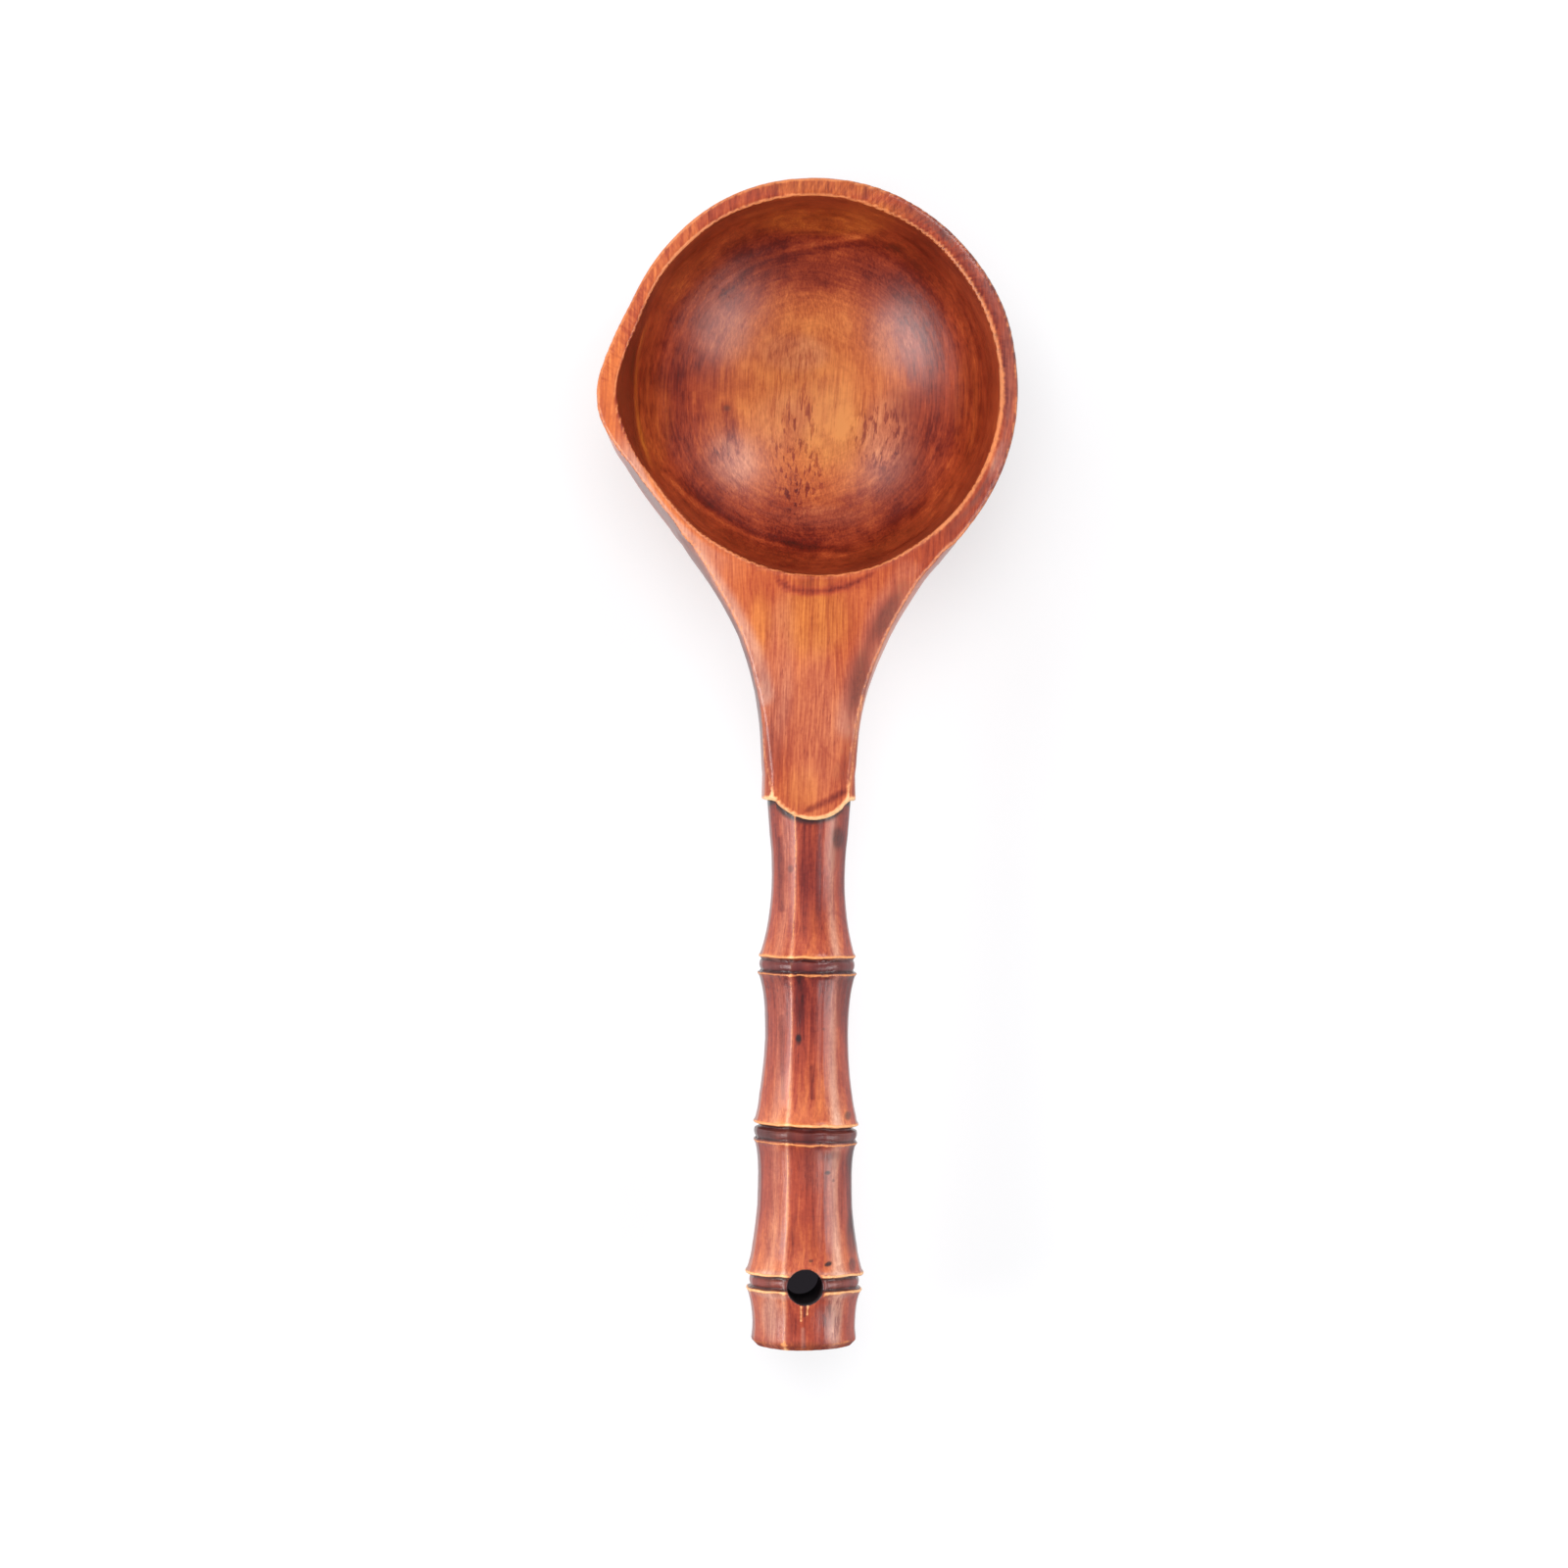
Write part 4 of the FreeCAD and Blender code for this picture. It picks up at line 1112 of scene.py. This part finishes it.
    def node_cuts(self, points: np.ndarray) -> np.ndarray:
        """Return how deep the knife went beside each band, towards the grip's axis."""
        run = -points[:, 1]
        depth = sum(deep * bump(run, place, self.groove_half) for place, deep in self.grooves())
        depth -= sum(0.2 * bump(run, (start + end) / 2, (end - start) * 0.26) for start, end in self.bands)
        depth += 0.3 * bump(run, 159.0, 0.5)
        return depth * swell(*self.knife_off_hole, self.from_hole(points))

    def shape(self, carving: Carving) -> np.ndarray:
        """Carve the nodes' grooves and lips, the sides and the uneven end.

        Args:
            carving: The piece as copied from its solid.

        Returns:
            Its moved points.
        """
        points, moved = carving.points, self.knifed(carving)
        across, run, up = points[:, 0], -points[:, 1], points[:, 2] - self.axis_height
        out = np.maximum(np.hypot(across, up), 1e-6)
        skin = swell(*self.skin_out, out) * swell(SHOULDER_RUN, SHOULDER_RUN + 2, run)
        skin *= swell(*self.skin_off_hole, self.from_hole(points))
        angle = np.degrees(np.arctan2(up, across))
        rub = 0.28 * bump(angle, self.far_ridge_turn, 10) + self.node_cuts(points)
        for start, end in self.bands:
            for lip in (start - self.lip_away, end + self.lip_away):
                rub -= self.lip_height * bump(run, lip, self.lip_half)
        moved[:, 0] -= across / out * rub * skin
        moved[:, 2] -= up / out * rub * skin
        lips = sum(bump(run, (start + end) / 2, 4) for start, end in self.bands)
        wavy = 0.1 * np.sin(across * 0.9 + run * 0.05) + 0.05 * np.sin(across * 1.7 + 1.3 + run * 0.3)
        slanted = self.slant * across * bump(run, self.slanted_run, self.slant_reach)
        bow = self.bow * (across + self.bow_left) ** 2 * swell(*self.bow_run, run)
        moved[:, 1] += bow - (slanted + wavy * lips) * swell(SHOULDER_RUN + 2, SHOULDER_RUN + 8, run)
        moved[:, 0] += sideways(points, self.sides)
        return moved

    def stain(self, carving: Carving) -> None:
        """Stain the carved piece and paint its light and shade: what is worn, smudged dark or in painted
        shade, light or dark.

        Args:
            carving: The carved piece.
        """
        points, normals = carving.points, carving.normals
        across, up = points[:, 0], points[:, 2] - self.axis_height
        run = -points[:, 1] - self.slant * across * bump(-points[:, 1], self.slanted_run, self.slant_reach)
        angle = np.degrees(np.arctan2(up, across))

        # The bands, the grooves beside them and the lips that stand proud over them.
        groove = np.max([bump(run, place, self.groove_half) for place, _ in self.grooves()], axis=0)
        band, lip = np.zeros(len(run)), np.zeros(len(run))
        for number, (start, end) in enumerate(self.bands):
            on_band = swell(start - 0.15, start + 0.25, run) * swell(end + 0.15, end - 0.25, run)
            band = np.maximum(band, on_band)
            ring = swell(start - 1.15, start - 0.5, run) * swell(end + 1.2, end + 0.5, run) * (1 - band)
            dull_below = 0.45 if number < 2 else 0.0
            lip = np.maximum(lip, ring * (1 - dull_below * swell(start, end, run)))
        slanted_band = band * bump(run, self.slanted_run, self.slant_reach)

        # Painted shadow: a dark band on the grip just past the neck's lap.
        lap_shadow = swell(1.9, 0.3, past_joint(points, 0.0)) * swell(26.0, 34.0, points[:, 2])
        from_hole = np.hypot(across, run - self.hole_run)
        open_wood = swell(self.hole_radius + 0.15, self.hole_radius + 0.8, from_hole)
        # Painted shade inside the hanging hole.
        hole_wall_shade = swell(self.hole_radius + 0.3, self.hole_radius, from_hole)

        # The flats: a sharp ridge, a face on each side of it, and the sides; painted highlights on the faces,
        # painted shade on the right side and both side edges.
        ridge = bump(angle, self.ridge_turn, 3.2)
        left, right = bump(angle, self.left_face_turn, 13), bump(angle, self.right_face_turn, 10)
        # Painted shade: the right side darker, and both side edges darkened.
        side = swell(42.0, 25.0, angle) * swell(-60.0, 0.0, angle)
        edge = swell(32.0, 12.0, np.abs(angle)) + swell(148.0, 168.0, np.abs(angle))
        proud = carving.proud(6)
        first = swell(124.0, 118.0, run)
        upward = swell(-0.2, 0.2, normals[:, 2])
        wear = swell(0.015, 0.08, proud) * (0.35 + 0.65 * np.maximum(lip, ridge)) * open_wood * (1 - band)
        cream = lip * (0.36 + 0.14 * (run > 188.0)) * swell(0.0, 0.05, proud)
        cream += ridge * (0.3 + 0.08 * first) * (1 - band)
        # Painted highlights lighten the faces beside the ridge; painted shade darkens the right side.
        tone = np.interp(run, *zip(*self.tones)) + left * 0.16 + right * 0.18 - side * 0.12
        carving.paint({
            Wash.BAND: band,
            Wash.GROOVE: np.maximum(groove * 0.85, slanted_band * 0.45),
            Wash.WEAR: wear,
            # Painted shade where the surface dips, kept off the hanging hole's edge.
            Wash.RECESS_SHADE: swell(0.03, 0.25, -carving.proud(14)) * open_wood,
            # The ridge lighter: worn, and a painted highlight.
            Wash.TONE: tone + ridge * (0.25 - 0.17 * first),
            # Painted sheen on the faces and the ridge.
            Wash.BLOOM_AND_SHEEN: left * 0.4 + right * 0.75 + ridge * 0.5,
            # Painted shadow past the lap, painted shade in the hanging hole and on the side edges, with dark
            # smudges.
            Wash.SOOT_AND_SHADE: lap_shadow * 0.8 + hole_wall_shade + edge * 0.45,
            Wash.CREAM: cream * open_wood,
            Wash.OCHRE: 0.15 + lip * 0.4,
            Wash.DASH: upward * 0.25}, self.marks, upward)

    def dress(self) -> Material:
        """Make the grip's lacquered wood."""
        wood = Wood(GRIP_FINISH)
        band, dashes = wood.wash(Wash.BAND), wood.dashes()
        tone = wood.wash(Wash.TONE) + wood.streak * 0.6 + wood.fibre * 0.35 + wood.cloud * 0.45
        tone = tone + wood.speck * 0.24 - wood.rings * 0.06 - wood.pores * 0.08 - dashes * 0.2
        # Painted shade: where the surface dips it darkens towards the darkest stain.
        colour = wood.mix(wood.wash(Wash.RECESS_SHADE) * 0.6, wood.stained(tone), GRIP_FINISH.red[0])
        clouded = wood.slide(wood.cloud + wood.streak * 0.5, -0.15, 0.15)
        colour = wood.mix(band * 0.85, colour, wood.mix(clouded, stain(92, 38, 40), stain(136, 54, 50)))
        colour = wood.mix(wood.wash(Wash.GROOVE), colour, stain(34, 16, 18))
        colour, worn = wood.worn(colour, 0.85)
        # Painted shade: the hanging hole's walls go dark and matt, without lacquer.
        from_hole = span(wood.across, wood.along + self.hole_run)
        hole_wall_darkness = wood.slide(from_hole, self.hole_radius + 0.25, self.hole_radius - 0.05)
        colour = wood.mix(hole_wall_darkness, colour, stain(50, 44, 46))
        end_grain = wood.slide(wood.along, 1.8 - self.end_run, -self.end_run)
        roughness = (wood.matt(worn, 0.12) + end_grain * 0.45) * (1 - hole_wall_darkness) + hole_wall_darkness
        height = 0.5 + wood.fibre * 0.5 - wood.pores * 0.3 - dashes * 0.3 + wood.speck * band * 0.5
        coat = GRIP_FINISH.coat * (1 - hole_wall_darkness) * (1 - worn * 0.4) * (1 - end_grain)
        return wood.surface(colour, roughness, height, 0.06, coat)


@dataclass(frozen=True)
class Lamp:
    """A soft box that looks at the scoop. Angles are in degrees, sizes in metres, power in watts."""

    name: str
    bearing: float
    rise: float
    away: float
    wide: float
    tall: float
    power: float
    mirrored: bool = True


@dataclass
class Studio:
    """The pale floor, the soft boxes, the white surroundings, a dark disc of painted shade in the hanging
    hole, and the camera. Sizes are in metres.
    """

    floor_half: float = 3.0
    lens: float = 121.8
    camera_away: float = 1.130
    target: tuple[float, float, float] = (-0.00585, -0.08513, 0.046)
    lean_left: float = 2.5
    lean_up: float = 1.0
    turn: float = 0.705
    hole_shade_place: tuple[float, float, float] = (0.0, -0.1924, 0.0258)
    hole_shade_radius: float = 0.0039
    lamps: tuple[Lamp, ...] = (
        Lamp("low_right_box", -33, 34, 0.5, 0.3, 0.17, 0.85),
        Lamp("low_left_box", 203, 34, 0.5, 0.3, 0.17, 1.4),
        Lamp("high_right_box", 48, 36, 0.5, 0.16, 0.14, 0.62),
        Lamp("high_left_box", 125, 36, 0.5, 0.16, 0.14, 0.34),
        Lamp("ceiling", 110, 76, 1.5, 0.8, 0.8, 13.0, False),
    )

    def lay(self, name: str, shader: Shader) -> None:
        """Name the flat form just added, dress it and leave it to the stage."""
        flat = bpy.context.object
        flat.name = name
        bpy.ops.object.transform_apply(location=True)
        flat.data.materials.append(shader.owner)

    def floor(self) -> None:
        """Lay the floor that the scoop's foot stands on, a little brighter to look at than it lights."""
        bpy.ops.object.select_all(action="DESELECT")
        bpy.ops.mesh.primitive_plane_add(size=2 * self.floor_half, location=(0, 0, -0.02 * MM))
        shader = Shader(bpy.data.materials.new("pale_floor"))
        rays = shader.node("ShaderNodeLightPath").outputs
        names = ("Is Camera Ray", "Is Glossy Ray", "Is Transmission Ray")
        camera, glossy, through = (Value(shader, rays[name]) for name in names)
        matt = shader.node("ShaderNodeBsdfPrincipled", {
            "Base Color": stain(236, 236, 238), "Roughness": 0.85})
        glow = shader.node("ShaderNodeEmission", {"Color": WHITE, "Strength": 1.0})
        shader.close("ShaderNodeOutputMaterial", shader.node("ShaderNodeMixShader", {
            0: camera.most(glossy).most(through) * 0.5, 1: matt.outputs[0], 2: glow.outputs[0]}))
        self.lay("studio_floor", shader)

    def hole_shade_card(self) -> None:
        """Close the view through the hanging hole with a small dark disc that glows by itself: painted shade,
        standing in for the shade seen through the hole, so that the hole looks deep.
        """
        bpy.ops.object.select_all(action="DESELECT")
        bpy.ops.mesh.primitive_circle_add(
            vertices=48, radius=self.hole_shade_radius, fill_type="NGON", location=self.hole_shade_place)
        # Painted shade: a dark disc that glows by itself, hidden in the lower end of the hanging hole.
        shader = Shader(bpy.data.materials.new("painted_hole_shade_disc"))
        shader.close("ShaderNodeOutputMaterial", shader.node(
            "ShaderNodeEmission", {"Color": stain(39, 36, 40), "Strength": 1.0}))
        self.lay("studio_painted_hole_shade", shader)

    def surroundings(self) -> None:
        """Make the world white to look at and softly lit."""
        world = bpy.data.worlds.new("white_studio")
        bpy.context.scene.world = world
        shader = Shader(world)
        path = shader.node("ShaderNodeLightPath")
        lit = shader.node("ShaderNodeBackground", {"Color": (0.94, 0.97, 1, 1), "Strength": 0.3})
        seen = shader.node("ShaderNodeBackground", {"Color": WHITE, "Strength": 1.0})
        shader.close("ShaderNodeOutputWorld", shader.node("ShaderNodeMixShader", {
            0: path.outputs["Is Camera Ray"], 1: lit.outputs[0], 2: seen.outputs[0]}))

    def light(self) -> None:
        """Hang the soft boxes round the scoop."""
        middle = Vector((0, -0.02, 0.03))
        for lamp in self.lamps:
            bearing, rise = math.radians(lamp.bearing), math.radians(lamp.rise)
            level = math.cos(rise)
            back = Vector((math.cos(bearing) * level, math.sin(bearing) * level, math.sin(rise)))
            data = bpy.data.lights.new(lamp.name, "AREA")
            data.shape = "RECTANGLE"
            data.size, data.size_y = lamp.wide, lamp.tall
            data.energy = lamp.power
            box = bpy.data.objects.new(lamp.name, data)
            box.location = middle + back * lamp.away
            box.rotation_euler = back.to_track_quat("Z", "Y").to_euler()
            box.visible_glossy = lamp.mirrored
            bpy.context.scene.collection.objects.link(box)

    def camera(self) -> None:
        """Set the camera above the object, as the photographer stood."""
        data = bpy.data.cameras.new("view_from_above")
        data.lens = self.lens
        data.sensor_width = 36.0
        camera = bpy.data.objects.new("view_from_above", data)
        left, up = math.tan(math.radians(self.lean_left)), math.tan(math.radians(self.lean_up))
        back = Vector((-left, up, 1)).normalized()
        turn = math.radians(self.turn)
        right = Vector((math.cos(turn), math.sin(turn), 0))
        right = (right - back * right.dot(back)).normalized()
        axes = Matrix((right, back.cross(right), back)).transposed().to_4x4()
        camera.matrix_world = Matrix.Translation(Vector(self.target) + back * self.camera_away) @ axes
        bpy.context.scene.collection.objects.link(camera)
        bpy.context.scene.camera = camera

    def build(self) -> None:
        """Set the whole studio up."""
        self.camera()
        self.floor()
        self.hole_shade_card()
        self.surroundings()
        self.light()
        log.info("studio: %d lamps", len(self.lamps))


def main() -> None:
    """Build the studio and the two wooden pieces, and report each."""
    logging.basicConfig(level=logging.INFO, format="%(name)s: %(message)s")
    bpy.context.scene.view_settings.view_transform = "Standard"
    Studio().build()
    for part in (BowlHead(), Grip()):
        made = part.build()


if __name__ == "__main__":
    main()
